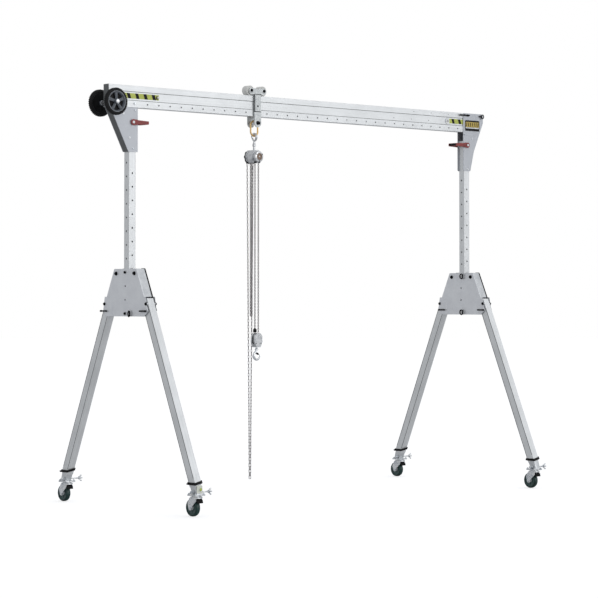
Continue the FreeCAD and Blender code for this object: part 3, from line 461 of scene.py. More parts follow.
def addGrooveShadeStrips():
    # dark strip at each edge of the recess, painted shade for the undercut groove there, which reads as a fine dark
    # line along the beam
    bm = bmesh.new()
    length = beamHigh.x - beamLow.x - 2 * mm
    middle = (beamHigh.x + beamLow.x) / 2
    tall = grooveShade["tall"] * mm
    depth = (grooveShade["outside"] + grooveShade["inside"]) / 2
    for sign in ends.values():
        for z in (beamHigh.z - grooveShade["upper"] * mm - tall / 2, beamLow.z + grooveShade["lower"] * mm + tall / 2):
            addBlock(bm, (middle, midY + sign * depth * mm, z), (length, (grooveShade["outside"] - grooveShade["inside"]) * mm, tall))
    finishPiece("beam_groove_shade_strips", bm, [graphiteCoatAndShade], "mast")


stop = {
    "left": (13, 9),     # disc and cap radius
    "right": (24, 16),
}


def addStops():
    bm = bmesh.new()
    low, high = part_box("end_stops")
    inset = (high.z - low.z) / 2
    for side, x in (("left", low.x + inset), ("right", high.x - inset)):
        middle = Vector((x, midY, (low.z + high.z) / 2))
        addRod(bm, middle, (0, 1, 0), inset, high.y - low.y, 24, 1.5 * mm, 0)
        disc, cap = (r * mm for r in stop[side])
        base, face = (2, 2) if side == "left" else (1, 0)
        for sign in ends.values():
            seat = middle + Vector((0, sign * tape["recess"] * mm, 0))
            addTurned(bm, [(0, disc), (4 * mm, disc), (5.5 * mm, disc - 2 * mm), (5.5 * mm, cap)], seat, (0, sign, 0), 36,
                      finish=base)
            addTurned(bm, [(5 * mm, cap), (6.5 * mm, cap), (7.5 * mm, cap - 2 * mm), (8 * mm, 0)], seat, (0, sign, 0),
                      36, finish=face)
    finishPiece("end_stop_buffers", bm, [turnedNylon, zincSteel, oliveRubber], "mast", ["end_stops"])


rivets = {"radius": 3.2, "step": 200, "upper": 21.5, "middle": 110, "first": 175}


def addRivets():
    bm = bmesh.new()
    r = rivets["radius"] * mm
    for sign in ends.values():
        for k in range(3):
            for inset, z, face in ((k * rivets["step"], beamHigh.z - rivets["upper"] * mm, 30),
                                   (k * rivets["step"] + 225, beamLow.z + 76 * mm, 27.5)):
                spot = (headInner["right"] - (rivets["first"] + inset) * mm, midY + sign * face * mm, z)
                addTurned(bm, [(0, r), (r * 0.35, r * 0.86), (r * 0.6, r * 0.4), (r * 0.66, 0)], spot, (0, sign, 0), 14)
    finishPiece("beam_rivets", bm, [blackSteelAndShade], "mast")


headBolts = {   # across the post's centre towards the outer end, height, distance of the face from the middle
    "left": [(0, 2622, 34.5), (-22, 2903, 34.5), (85, 2874, 34.5), (30, 2700, 34.5)],
    "right": [(6, 2614, 34.5), (-26, 2903, 34.5), (60, 2874, 34.5), (-28, 3060, 34.5)],
}


def addHeadBolts(side):
    bm = bmesh.new()
    for across, height, face in headBolts[side]:
        for sign in ends.values():
            spot = (postX[side] + sides[side] * across * mm, midY + sign * face * mm, height * mm)
            addHexBolt(bm, spot, (0, sign, 0), 11 * mm, 4 * mm)
    if side == "left":
        # the larger bolt through the beam above the post
        for sign in ends.values():
            addHexBolt(bm, (postX[side] + 20 * mm, midY + sign * 30 * mm, 2.953), (0, sign, 0), 17 * mm, 5 * mm)
    finishPiece("head_bolts_" + side, bm, [zincSteel], "mast")


def addCapScrew():
    # one light dome screw low on the wheel end's closing cap
    bm = bmesh.new()
    spot = (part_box("head_closing_left")[0].x, midY, 2.945)
    addTurned(bm, [(0, 8 * mm), (2 * mm, 8 * mm), (4.5 * mm, 5 * mm), (5 * mm, 0)], spot, (-1, 0, 0), 24)
    finishPiece("cap_screw", bm, [millAluminium], "mast")


panel = {
    "left": 21,       # from the head plate's inner edge
    "wide": 172,
    "low": 2936,
    "high": 3025,
    "thick": 1.2,
    "field": (2968, 3011),
    "strip": (2957, 2966),
    "bars": 7,
}


def addBlankPanel():
    # plain data plate with nothing written on it: a barred yellow field between two dark bands
    bm = bmesh.new()
    face = midY - headFace
    thick = panel["thick"] * mm
    x = headInner["right"] + panel["left"] * mm
    wide = panel["wide"] * mm
    outline = rounded([(x, panel["low"] * mm), (x + wide, panel["low"] * mm), (x + wide, panel["high"] * mm),
                       (x, panel["high"] * mm)], 5 * mm)
    addPlate(bm, outline, "xz", face - thick, face, 0)
    start, stop = x + 7 * mm, x + wide - 7 * mm
    for part, finish in (("field", 1), ("strip", 2)):
        low, high = (v * mm for v in panel[part])
        shape = rounded([(start, low), (stop, low), (stop, high), (start, high)], 2 * mm)
        addPlate(bm, shape, "xz", face - thick * 1.4, face - thick, finish)
    low, high = (v * mm for v in panel["field"])
    for k in range(panel["bars"]):
        u = start + (stop - start) * (k + 0.5) / panel["bars"]
        bar = [(u - 6 * mm, low + 5 * mm), (u + 2 * mm, low + 5 * mm), (u + 7 * mm, high - 5 * mm), (u - 1 * mm, high - 5 * mm)]
        addPlate(bm, bar, "xz", face - thick * 1.7, face - thick * 1.4, 0)
    for u in (x + 4 * mm, x + wide - 4 * mm):
        for v in (panel["low"] + 5, panel["high"] - 5):
            addTurned(bm, [(0, 2 * mm), (1 * mm, 1.6 * mm), (1.3 * mm, 0)], (u, face - thick, v * mm), (0, -1, 0), 12,
                      finish=2)
    finishPiece("blank_plate", bm, [tapeBlack, panelYellow, millAluminium], "mast")


topPin = {"from": -44, "to": 70, "level": 18, "ring": 13, "wire": 4}


def addTopPins():
    # black pin lying across the right head's top edge, and the pull ring at its outer corner
    bm = bmesh.new()
    face = midY - headFace
    z = beamHigh.z - topPin["level"] * mm
    x = headInner["right"]
    first, last = (x + topPin[end] * mm for end in ("from", "to"))
    addRod(bm, ((first + last) / 2, face - 7 * mm, z), (1, 0, 0), 5.5 * mm, last - first, 20, 1.5 * mm)
    addRod(bm, (first + 9 * mm, face - 7 * mm, z), (1, 0, 0), 7.5 * mm, 16 * mm, 20, 2 * mm)
    for u in (14, 52):
        addBlock(bm, (x + u * mm, face - 4 * mm, z), (18 * mm, 8 * mm, 15 * mm))
    ring, wire = topPin["ring"] * mm, topPin["wire"] * mm
    ringAt = Vector((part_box("head_plates_right")[1].x - ring - wire - 0.5 * mm, face - 10 * mm, z - 3 * mm))
    addRod(bm, ringAt + Vector((-16 * mm, 4 * mm, 0)), (1, 0, 0), 5 * mm, 36 * mm, 16, 1 * mm)
    loop = [ringAt + Vector((ring * math.cos(a), -4 * mm, (ring + 3 * mm) * math.sin(a)))
            for a in (2 * math.pi * k / 28 for k in range(28))]
    addTube(bm, loop, wire, 10, True)
    addTurned(bm, [(0, 7 * mm), (5 * mm, 7 * mm), (7 * mm, 5 * mm), (7 * mm, 0)], ringAt, (0, -1, 0), 20, finish=1)
    finishPiece("head_top_pins", bm, [blackSteelAndShade, millAluminium], "mast")


for side in sides:
    addHeadBolts(side)
    for end in ends:
        addTape(side, end)
addStops()
addGrooveShadeStrips()
addRivets()
addCapScrew()
addBlankPanel()
addTopPins()
print("beam and head trim made")

lever = {"hub": 22, "waist": 16, "tip": 12, "reach": 140, "gap": 39.5, "thick": 6, "web": 78, "pin": 8}


def addLever(side):
    # pressed channel lever: two arms joined by a web at the grip, on a pin through the post
    bm = bmesh.new()
    centre = pivotOf("lever_turn_" + side)
    inward = -sides[side]
    r, reach, tip, waist = lever["hub"] * mm, lever["reach"] * mm, lever["tip"] * mm, lever["waist"] * mm
    hub = [(-r * math.sin(a), r * math.cos(a)) for a in (math.radians(d) for d in range(-20, 201, 20))]
    arm = hub + rounded([(r * 1.1, -r * 0.98), (r * 1.9, -waist), (reach, -tip), (reach, tip), (r * 1.9, waist),
                         (r * 1.1, r * 0.98)], [2 * mm, 6 * mm, 5 * mm, 5 * mm, 6 * mm, 2 * mm])
    outline = [(centre.x + inward * u, centre.z + v) for u, v in arm]
    for sign in ends.values():
        inner = midY + sign * lever["gap"] * mm
        outer = inner + sign * lever["thick"] * mm
        addPlate(bm, outline, "xz", min(inner, outer), max(inner, outer))
    span = 2 * lever["gap"] * mm + lever["thick"] * mm
    for height, start in ((tip, lever["web"] + 8), (-tip, lever["reach"] - 34)):
        wide = (lever["reach"] - start - 5) * mm
        addBlock(bm, (centre.x + inward * (reach - 5 * mm - wide / 2), midY, centre.z + height * 0.82),
                 (wide, span, 5 * mm))
    addBlock(bm, (centre.x + inward * (reach - 5 * mm), midY, centre.z), (5 * mm, span, tip * 1.5), finish=2)
    wide = 2 * (lever["gap"] + lever["thick"]) * mm + 8 * mm
    addRod(bm, (centre.x, midY, centre.z), (0, 1, 0), lever["pin"] * mm, wide, 24, 1.5 * mm, 1)
    for sign in ends.values():
        seat = (centre.x, midY + sign * (lever["gap"] + lever["thick"]) * mm, centre.z)
        addTurned(bm, [(0, 11 * mm), (2 * mm, 11 * mm), (3 * mm, 10 * mm), (3 * mm, 8 * mm)], seat, (0, sign, 0), 28,
                  finish=1)
    finishPiece("lever_" + side, bm, [redEnamel, millAluminium, blackPlastic], "lock_lever_" + side,
                ["lock_lever_" + side], 1.2)


for side in sides:
    addLever(side)
print("lock levers made")

wheel = {"carcass": 97.5, "treadBlocks": 44, "spokes": 5, "hub": 18, "bore": 10.2}


def addTransportWheel(end):
    # built about +Z, which then points outward along the axle
    bm = bmesh.new()
    c = wheel["carcass"]
    tyre = [(-12, 76), (-15.5, 80), (-16, 85), (-14, 90), (-9, c - 2), (-3, c), (3, c), (9, c - 2), (14, 90), (16, 85),
            (15.5, 80), (12, 76)]
    addTurned(bm, [(a * mm, r * mm) for a, r in tyre], steps=72, closed=True)
    for k in range(wheel["treadBlocks"]):
        for row, shift in ((-1, 0.0), (1, 0.5)):
            angle = 2 * math.pi * (k + shift) / wheel["treadBlocks"]
            turn = Matrix.Rotation(angle, 4, "Z") @ Matrix.Rotation(row * 0.25, 4, "X")
            middle = Matrix.Rotation(angle, 4, "Z") @ Vector(((c - 0.8) * mm, 0, row * 5 * mm))
            addBlock(bm, middle, (4.6 * mm, 8 * mm, 8 * mm), turn)
    rim = [(-13, 72), (-13, 76.5), (13, 76.5), (15, 75), (15, 71), (11, 68), (8, 65), (4, 63), (-6, 63), (-10, 67)]
    addTurned(bm, [(a * mm, r * mm) for a, r in rim], steps=72, closed=True, finish=1)
    # pale ring on the rim's outer face: a painted highlight
    ring = [(14.6, 76.2), (16.2, 75.8), (16.2, 74.4), (14.6, 74)]
    addTurned(bm, [(a * mm, r * mm) for a, r in ring], steps=72, closed=True, finish=5)
    tip = [(23.4, 10.4), (23.9, 9), (23.9, 0)]
    addTurned(bm, [(a * mm, r * mm) for a, r in tip], steps=28, finish=4)
    for k in range(wheel["spokes"]):
        turn = Matrix.Rotation(2 * math.pi * (k + 0.3) / wheel["spokes"], 4, "Z")
        before = len(bm.verts)
        shape = [(14 * mm, -8 * mm), (66 * mm, -12 * mm), (66 * mm, 12 * mm), (14 * mm, 8 * mm)]
        addPlate(bm, shape, "xy", 2 * mm, 9 * mm, 3)
        rib = [(16 * mm, -2.5 * mm), (64 * mm, -3.5 * mm), (64 * mm, 3.5 * mm), (16 * mm, 2.5 * mm)]
        addPlate(bm, rib, "xy", 8 * mm, 12 * mm, 3)
        bm.verts.ensure_lookup_table()
        bmesh.ops.transform(bm, matrix=turn, verts=bm.verts[before:])
    b, h = wheel["bore"], wheel["hub"]
    hub = [(-23.5, b), (-23.5, h), (10, h + 3), (16, h), (21, h - 4), (23.5, h - 5), (23.5, b)]
    addTurned(bm, [(a * mm, r * mm) for a, r in hub], steps=40, closed=True, finish=3)
    dish = [(-8, 14), (-13.5, 20), (-14, 56), (-14, 76), (-6, 76), (-6, 56), (-6, 30), (-3, 14)]
    addTurned(bm, [(a * mm, r * mm) for a, r in dish], steps=60, closed=True, finish=2)
    joint = pivotOf("transport_roll_" + end)
    moveAll(bm, Matrix.Translation(joint) @ turnTo((0, ends[end], 0)))
    finishPiece("transport_tyre_" + end, bm, [solidRubber, rimPlastic, blackPlastic, rimPlastic, zincSteel, rimHighlight],
                "transport_wheel_" + end, ["transport_wheel_" + end])


def addAxle():
    bm = bmesh.new()
    centre = middleOf("transport_axle")
    low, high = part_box("transport_axle")
    addRod(bm, centre, (0, 1, 0), 10 * mm, high.y - low.y - 1 * mm, 24, 1.5 * mm)
    for sign in ends.values():
        sleeve = [(30, 12), (30, 17), (33, 17), (34, 15.5), (66, 15.5), (67, 17), (71, 17), (71, 12)]
        addTurned(bm, [(a * mm, r * mm) for a, r in sleeve], centre, (0, sign, 0), 32)
        nutAt = centre + Vector((0, sign * 120.4 * mm, 0))
        addHexBolt(bm, nutAt, (0, sign, 0), 24 * mm, 5 * mm, 1.15)
    finishPiece("wheel_axle", bm, [zincSteel], "mast", ["transport_axle"])


for end in ends:
    addTransportWheel(end)
addAxle()
print("transport wheels made")

framePlate = {
    "face": 41,           # outer face from the post's centre
    "pivotOut": 250,
    "pivotHeight": 1489,
    "topBolts": (109, 1711),
    "pins": (1719, 1419),
    "gripLevel": 1437,
    "gripLength": 76,
    "grip": {"left_near": 182, "left_far": 214, "right_near": 196, "right_far": 182},   # inner ends, from the middle
    "doubler": 1.2,
    "edge": (31, 43),     # dark rubber profile on the outer plate's sloping edge, across the post; its darkness is partly painted shade
}


def addFrameTrim(side):
    # bolts and folded corner doublers on both faces of a leg frame, and the leg lock grips with their pins' ends
    bm = bmesh.new()
    out = framePlate["pivotOut"]
    high = framePlate["pivotHeight"]
    for across in sides.values():
        face = postX[side] + across * framePlate["face"] * mm
        for sign in ends.values():
            spread, level = framePlate["topBolts"]
            addHexBolt(bm, (face, midY + sign * spread * mm, level * mm), (across, 0, 0), 21 * mm, 9 * mm, 1.25, finish=1)
            addHexBolt(bm, (face, midY + sign * out * mm, high * mm), (across, 0, 0), 18 * mm, 8 * mm, 1.2, finish=1)
            # the doubler follows the plate's lower corner and ends in a rounded inner corner
            corner = [(out - 95, 1402), (out - 27, 1402), (out + 17, 1438), (out - 3, high + 53), (out - 50, high + 50),
                      (out - 93, high + 8)]
            shape = rounded([(midY + sign * u * mm, v * mm) for u, v in corner],
                            [4 * mm, 12 * mm, 12 * mm, 4 * mm, 30 * mm, 40 * mm], 8)
            thick = framePlate["doubler"] * mm * across
            addPlate(bm, shape, "yz", min(face, face + thick), max(face, face + thick), 0)
    # leg lock pins: a bar handle in front of the plate, and the pin's end behind the other one
    half = framePlate["gripLength"] / 2
    level = framePlate["gripLevel"] * mm
    for end, sign in ends.items():
        y = midY + sign * (framePlate["grip"][side + "_" + end] + half) * mm
        face = postX[side] - framePlate["face"] * mm
        grip = [(-half, 4), (-half + 2, 6), (-half + 22, 6), (-half + 26, 4.2), (half - 24, 4.2), (half - 20, 7), (half - 2, 7),
                (half, 5)]
        addTurned(bm, [(a * mm, r * mm) for a, r in grip], (face - 10 * mm, y, level), (0, sign, 0), 24, finish=2)
        addBlock(bm, (face - 5 * mm, y, level), (10 * mm, 16 * mm, 11 * mm), finish=2)
        back = (postX[side] + framePlate["face"] * mm, y, level)
        addTurned(bm, [(0, 8 * mm), (2 * mm, 8 * mm), (3 * mm, 6 * mm), (6 * mm, 5 * mm), (6 * mm, 0)], back, (1, 0, 0), 20,
                  finish=1)
    finishPiece("frame_trim_" + side, bm, [plateAluminium, blackSteelAndShade, blackPlastic], "frame_" + side)


def addFrameEdges(side):
    # dark rubber profile pushed over the outer plate's sloping edges and round its top corners; its darkness is partly
    # the rubber's own and partly painted shade along these edges
    bm = bmesh.new()
    first, last = (postX[side] + v * mm for v in framePlate["edge"])
    for sign in ends.values():
        line = [(sign * 96, 1745), (sign * 124, 1745), (sign * 131, 1742), (sign * 136, 1733), (sign * 268, 1440)]
        middle = Vector((0, 1500))
        outer = [Vector(p) + (Vector(p) - middle).normalized() * 4 for p in line]
        inner = [p + (middle - p).normalized() * 9 for p in outer]
        outline = [(midY + p.x * mm, p.y * mm) for p in outer + inner[::-1]]
        addPlate(bm, outline, "yz", first, last)
    finishPiece("frame_edge_" + side, bm, [solidRubber], "frame_" + side, bevel=1)


def addRingPins(side):
    # quick pins with pull rings that hold the post in its sleeve
    bm = bmesh.new()
    face = postX[side] - framePlate["face"] * mm
    for height in framePlate["pins"]:
        z = height * mm
        big = side == "right"
        slide = -16 * mm if big else -62 * mm
        addTurned(bm, [(-4 * mm, 6 * mm), (3 * mm, 6 * mm), (3 * mm, 10 * mm), (8 * mm, 10 * mm), (11 * mm, 7 * mm),
                       (11 * mm, 0)], (face, midY, z), (-1, 0, 0), 24, finish=1 if big else 0)
        if big or height < 1500:
            wide, tall = (17 * mm, 19 * mm) if big else (10 * mm, 20 * mm)
            loop = [Vector((face - 13 * mm, midY + slide + wide * math.cos(a), z - 2 * mm + tall * math.sin(a)))
                    for a in (2 * math.pi * k / 30 for k in range(30))]
            addTube(bm, loop, 5 * mm, 10, True)
    finishPiece("ring_pins_" + side, bm, [blackSteelAndShade, turnedNylon], "frame_" + side)


for side in sides:
    addFrameTrim(side)
    addFrameEdges(side)
    addRingPins(side)
print("leg frame trim made")

foot = {
    "legLength": 1375,
    "legAcross": 60,
    "legDeep": 70,
    "legOffset": 23,
    "collarWall": 6,
    "collar": (222, 241),        # heights of the band on its low side
    "collarRise": 12,            # how much higher it sits on the side facing the other frame
    "adapterTop": (28, 31),      # half sizes across and along the spread
    "adapterFoot": (27, 31),
    "adapterLean": 13,           # how far its foot lies outward of the castor's middle
    "plate": 95,
    "plateTop": 157,
    "plateUnder": 147,
    "spindleHeight": 171,
}


def addFoot(side, end):
    # collar round the leg's end, cast adapter, base plate and the cross spindle with its wing nut
    bm = bmesh.new()
    sign = ends[end]
    pivot = pivotOf("leg_fold_" + side + "_" + end)
    swivel = pivotOf("castor_swivel_" + side + "_" + end)
    down = foot["legLength"] * mm
    base = pivot + Vector((0, sign * down * math.sin(legSplay), -down * math.cos(legSplay)))
    tilt = Matrix.Translation(base) @ Matrix.Rotation(sign * legSplay, 4, "X")
    a, d = foot["legAcross"] / 2 * mm, foot["legDeep"] / 2 * mm
    off = -sign * foot["legOffset"] * mm
    wall = foot["collarWall"] * mm
    low, high = (v * mm for v in foot["collar"])
    slope = foot["collarRise"] * mm / (2 * a)

    def onLeg(u, v, height):
        # point of the leg's side line (u, v) where it passes a level that rises along X
        along = height + slope * (u + a) - base.z - v * math.sin(sign * legSplay)
        return tilt @ Vector((u, v, along / math.cos(legSplay)))

    outer = rounded([(-a - wall, off - d - wall), (a + wall, off - d - wall), (a + wall, off + d + wall),
                     (-a - wall, off + d + wall)], 6 * mm)
    inner = rounded([(-a, off - d), (a, off - d), (a, off + d), (-a, off + d)], 5 * mm)
    rows = [[bm.verts.new(onLeg(u, v, z)) for u, v in line]
            for line, z in ((inner, high - 3 * mm), (outer, high), (outer, low), (inner, low))]
    for first, second in zip(rows, rows[1:] + rows[:1]):
        for k in range(len(first)):
            n = (k + 1) % len(first)
            bm.faces.new((first[k], first[n], second[n], second[k])).material_index = 1
    # the band's loose end
    tail = onLeg(-a - wall - 6 * mm, off + d - 4 * mm, (low + high) / 2)
    addBlock(bm, tail, (16 * mm, 5 * mm, (high - low) * 0.6), finish=1)
    # adapter: a loft from the leg's slanted end to the base plate
    at, ad = (v * mm for v in foot["adapterTop"])
    fa, fd = (v * mm for v in foot["adapterFoot"])
    topLine = [onLeg(u, off + v, low + 2 * mm) for u, v in rounded([(-at, -ad), (at, -ad), (at, ad), (-at, ad)], 6 * mm)]
    lean = sign * foot["adapterLean"] * mm
    footLine = [Vector((swivel.x + u, swivel.y + v + lean, foot["plateTop"] * mm - 0.5 * mm))
                for u, v in rounded([(-fa, -fd), (fa, -fd), (fa, fd), (-fa, fd)], 6 * mm)]
    waist = [p.lerp(q, 0.62) for p, q in zip(topLine, footLine)]
    rows = [[bm.verts.new(p) for p in line] for line in (topLine, waist, footLine)]
    for first, second in zip(rows, rows[1:]):
        for k in range(len(first)):
            n = (k + 1) % len(first)
            bm.faces.new((first[k], first[n], second[n], second[k])).material_index = 0
    bm.faces.new(rows[0]).material_index = 0
    bm.faces.new(rows[-1]).material_index = 0
    half = foot["plate"] / 2 * mm
    square = rounded([(swivel.x - half, swivel.y - half), (swivel.x + half, swivel.y - half),
                      (swivel.x + half, swivel.y + half), (swivel.x - half, swivel.y + half)], 9 * mm)
    top, under = foot["plateTop"] * mm, foot["plateUnder"] * mm
    addPlate(bm, square, "xy", top - 5 * mm, top, 2)
    addPlate(bm, square, "xy", under, top - 5.4 * mm, 2)
    for u in (-1, 1):
        for v in (-1, 1):
            spot = (swivel.x + u * 37 * mm, swivel.y + v * 37 * mm, top)
            addHexBolt(bm, spot, (0, 0, 1), 13 * mm, 6 * mm, 1.25, 3 * mm, 2)
    finishPiece("foot_" + side + "_" + end + "_casting", bm, [millAluminium, blackPlastic, zincSteel],
                "leg_" + side + "_" + end, ["foot_" + side + "_" + end], 0.8)
    addSpindle(side, end, swivel)


def addSpindle(side, end, swivel):
    bm = bmesh.new()
    low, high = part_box("foot_" + side + "_" + end)
    z = foot["spindleHeight"] * mm
    length = high.x - low.x
    middle = (low.x + high.x) / 2
    addRod(bm, (middle, swivel.y, z), (1, 0, 0), 5 * mm, length - 2 * mm, 16, 1 * mm)
    turns = 46
    thread = [Vector((high.x - 64 * mm + 58 * mm * k / turns / 6, swivel.y + 5 * mm * math.cos(math.pi * k / 3),
                      z + 5 * mm * math.sin(math.pi * k / 3))) for k in range(turns * 6)]
    addTube(bm, thread, 0.8 * mm, 5)
    nut = high.x - 26 * mm
    addTurned(bm, [(-8 * mm, 12 * mm), (-6 * mm, 12 * mm), (-5 * mm, 9 * mm), (7 * mm, 7.5 * mm), (9 * mm, 6 * mm)],
              (nut, swivel.y, z), (1, 0, 0), 24)
    for sign in (-1, 1):
        wing = [Vector((nut - 3 * mm, swivel.y, z + sign * 6 * mm)), Vector((nut + 4 * mm, swivel.y, z + sign * 13 * mm)),
                Vector((nut + 12 * mm, swivel.y, z + sign * 20 * mm)), Vector((nut + 17 * mm, swivel.y, z + sign * 22 * mm))]
        addTube(bm, wing, [4.5 * mm, 5.5 * mm, 6 * mm, 4 * mm], 10)
    for spot in (13, 27):
        addHexBolt(bm, (low.x + spot * mm, swivel.y, z), (-1, 0, 0), 18 * mm, 8 * mm, 1.3, 2 * mm)
    addTurned(bm, [(0, 11 * mm), (2 * mm, 11 * mm), (2 * mm, 6 * mm)], (low.x + 28 * mm, swivel.y, z), (-1, 0, 0), 24)
    finishPiece("spindle_" + side + "_" + end, bm, [zincSteel], "leg_" + side + "_" + end)


castor = {
    "cheek": (23, 27),
    "bore": 10.1,
    "tread": 62.5,
}


def addCastor(side, end):
    # pressed swivel fork with its double ball race, brake pedal and axle bolt
    tag = side + "_" + end
    swivel = pivotOf("castor_swivel_" + tag)
    roll = pivotOf("castor_roll_" + tag)
    bm = bmesh.new()
    b = castor["bore"]
    race = [(130, b), (130, 26), (132, 31.5), (137, 31.5), (138, 28), (140, 28), (141, 31), (145, 31), (146, 29), (146, b)]
    addTurned(bm, [(a * mm, r * mm) for a, r in race], (swivel.x, swivel.y, 0), (0, 0, 1), 40, True)
    inner, outer = (v * mm for v in castor["cheek"])
    trail = roll.y - swivel.y
    cheek = rounded([(-34 * mm, 134 * mm), (42 * mm, 134 * mm), (trail + 30 * mm, 90 * mm), (trail + 14 * mm, 44 * mm),
                     (trail - 9 * mm, 44 * mm), (trail - 22 * mm, 72 * mm), (-27 * mm, 108 * mm)],
                    [6 * mm, 10 * mm, 16 * mm, 9 * mm, 9 * mm, 20 * mm, 14 * mm], 6)
    shape = [(swivel.y + u, v) for u, v in cheek]
    for across in (-1, 1):
        walls = sorted((swivel.x + across * inner, swivel.x + across * outer))
        addPlate(bm, shape, "yz", walls[0], walls[1])
        spot = (swivel.x + across * outer, roll.y, roll.z)
        addHexBolt(bm, spot, (across, 0, 0), 17 * mm, 6 * mm, 1.35, 0, 0)
    ring = rounded([(swivel.x - outer, swivel.y - 31 * mm), (swivel.x + outer, swivel.y - 31 * mm),
                    (swivel.x + outer, swivel.y + 31 * mm), (swivel.x - outer, swivel.y + 31 * mm)], 9 * mm)
    addPlate(bm, ring, "xy", 130.5 * mm, 134.5 * mm)
    addRod(bm, (swivel.x, roll.y, roll.z), (1, 0, 0), 6 * mm, 2 * outer, 16)
    # pressed crown, wider than the race, that the cheeks hang from
    crown = [(127, 12), (127, 41), (129, 43.5), (138, 43.5), (140.5, 41), (141, 33), (138, 31), (137, 12)]
    addTurned(bm, [(a * mm, q * mm) for a, q in crown], (swivel.x, swivel.y, 0), (0, 0, 1), 48, True)
    pedal = [(-24 * mm, 127 * mm), (-43 * mm, 120 * mm), (-48 * mm, 96 * mm), (-38 * mm, 96 * mm), (-33 * mm, 112 * mm),
             (-24 * mm, 118 * mm)]
    shape = [(swivel.y + u, v) for u, v in rounded(pedal, [2 * mm, 10 * mm, 3 * mm, 3 * mm, 8 * mm, 2 * mm])]
    addPlate(bm, shape, "yz", swivel.x - 24 * mm, swivel.x + 24 * mm, 1)
    for k in range(4):
        rib = (swivel.x, swivel.y - (44.5 + k * 0.9) * mm, (117 - 5 * k) * mm)
        addRod(bm, rib, (1, 0, 0), 1.6 * mm, 44 * mm, 10, 0, 1)
    finishPiece("fork_" + tag, bm, [zincSteel, blackPlastic], "castor_fork_" + tag, ["castor_fork_" + tag],
                0.8)
    bm = bmesh.new()
    r = castor["tread"]
    tread = [(-17, 47), (-19, 50), (-19, 56), (-16, 60), (-10, r - 0.4), (0, r), (10, r - 0.4), (16, 60), (19, 56),
             (19, 50), (17, 47)]
    addTurned(bm, [(a * mm, q * mm) for a, q in tread], steps=64, closed=True)
    rim = [(-14, 44), (-14, 47.5), (14, 47.5), (14, 44), (8, 40), (6, 24), (12, 19), (-12, 19), (-6, 24), (-8, 40)]
    addTurned(bm, [(a * mm, q * mm) for a, q in rim], steps=48, closed=True, finish=1)
    hub = [(-19, 6.1), (-19, 14), (-17, 17), (-13, 19.5), (13, 19.5), (17, 17), (19, 14), (19, 6.1)]
    addTurned(bm, [(a * mm, q * mm) for a, q in hub], steps=36, closed=True, finish=2)
    for k in range(6):
        for face in (-1, 1):
            turn = Matrix.Rotation(math.pi * k / 3, 4, "Z")
            addBlock(bm, turn @ Vector((30 * mm, 0, face * 7 * mm)), (24 * mm, 3 * mm, 6 * mm), turn, 1)
    moveAll(bm, Matrix.Translation(roll) @ turnTo((1, 0, 0)))
    finishPiece("tread_" + tag, bm, [elasticRubber, greenNylon, millAluminium], "castor_wheel_" + tag,
                ["castor_wheel_" + tag])


# sizes of the dark strips that paint the rebates' shade down the legs
legGrooveShade = {"wide": 4.5, "proud": 0.5, "from": 45, "to": 1335}


def addLegGrooveShade(side, end):
    # dark strips over the extruded corner rebates, painted shade for the rebates, which read as a fine dark line down
    # each side of a leg
    bm = bmesh.new()
    sign = ends[end]
    down = foot["legLength"] * mm
    base = pivotOf("leg_fold_" + side + "_" + end) + Vector((0, sign * math.sin(legSplay), -math.cos(legSplay))) * down
    wide, proud = legGrooveShade["wide"] * mm, legGrooveShade["proud"] * mm
    first, last = legGrooveShade["from"] * mm, legGrooveShade["to"] * mm
    inset = foot["legDeep"] / 2 * mm - 4 * mm - wide / 2
    for across in (-1, 1):
        for edge in (-1, 1):
            spot = (across * foot["legAcross"] / 2 * mm, edge * inset - sign * foot["legOffset"] * mm, (first + last) / 2)
            addBlock(bm, spot, (2 * proud, wide, last - first))
    moveAll(bm, Matrix.Translation(base) @ Matrix.Rotation(sign * legSplay, 4, "X"))
    finishPiece("leg_groove_shade_" + side + "_" + end, bm, [graphiteCoatAndShade], "leg_" + side + "_" + end)


level = {"across": (-31, 17), "low": 168, "high": 222, "thick": 3, "vial": 12}


def addLevelVial():
    # spirit level in a pale body, on the near foot at the wheel end
    bm = bmesh.new()
    swivel = pivotOf("castor_swivel_left_near")
    face = swivel.y - (foot["adapterFoot"][1] + foot["adapterLean"]) * mm - 0.5 * mm
    first, last = (swivel.x + u * mm for u in level["across"])
    low, high = level["low"] * mm, level["high"] * mm
    thick = level["thick"] * mm
    shape = rounded([(first, low), (last, low), (last, high), (first, high)], 6 * mm)
    addPlate(bm, shape, "xz", face - thick, face)
    spot = ((first + last) / 2 + 6 * mm, face - thick, (low + high) / 2 - 2 * mm)
    r = level["vial"] * mm
    addTurned(bm, [(0, r + 3 * mm), (3 * mm, r + 3 * mm), (4 * mm, r + 2 * mm), (4 * mm, r)], spot, (0, -1, 0), 32, finish=2)
    addTurned(bm, [(2 * mm, r), (4.5 * mm, r - 1 * mm), (6 * mm, r * 0.6), (6.5 * mm, 0)], spot, (0, -1, 0), 32, finish=1)
    finishPiece("level_vial", bm, [paleLabel, levelGreen, millAluminium], "leg_left_near")


for side in sides:
    for end in ends:
        addFoot(side, end)
        addLegGrooveShade(side, end)
        addCastor(side, end)
addLevelVial()
print("feet and castors made")

trolley = {
    "plate": (36, 42),
    "half": 33,
    "lobe": 27,        # rounded ends round the roller axles
    "step": 2.957,
    "shoulder": 30,    # below the roller axles
    "edge": 6,         # width of a black strip along one side of the upper plate, painted shade for the gap there
    "keeper": (34, 22),
}


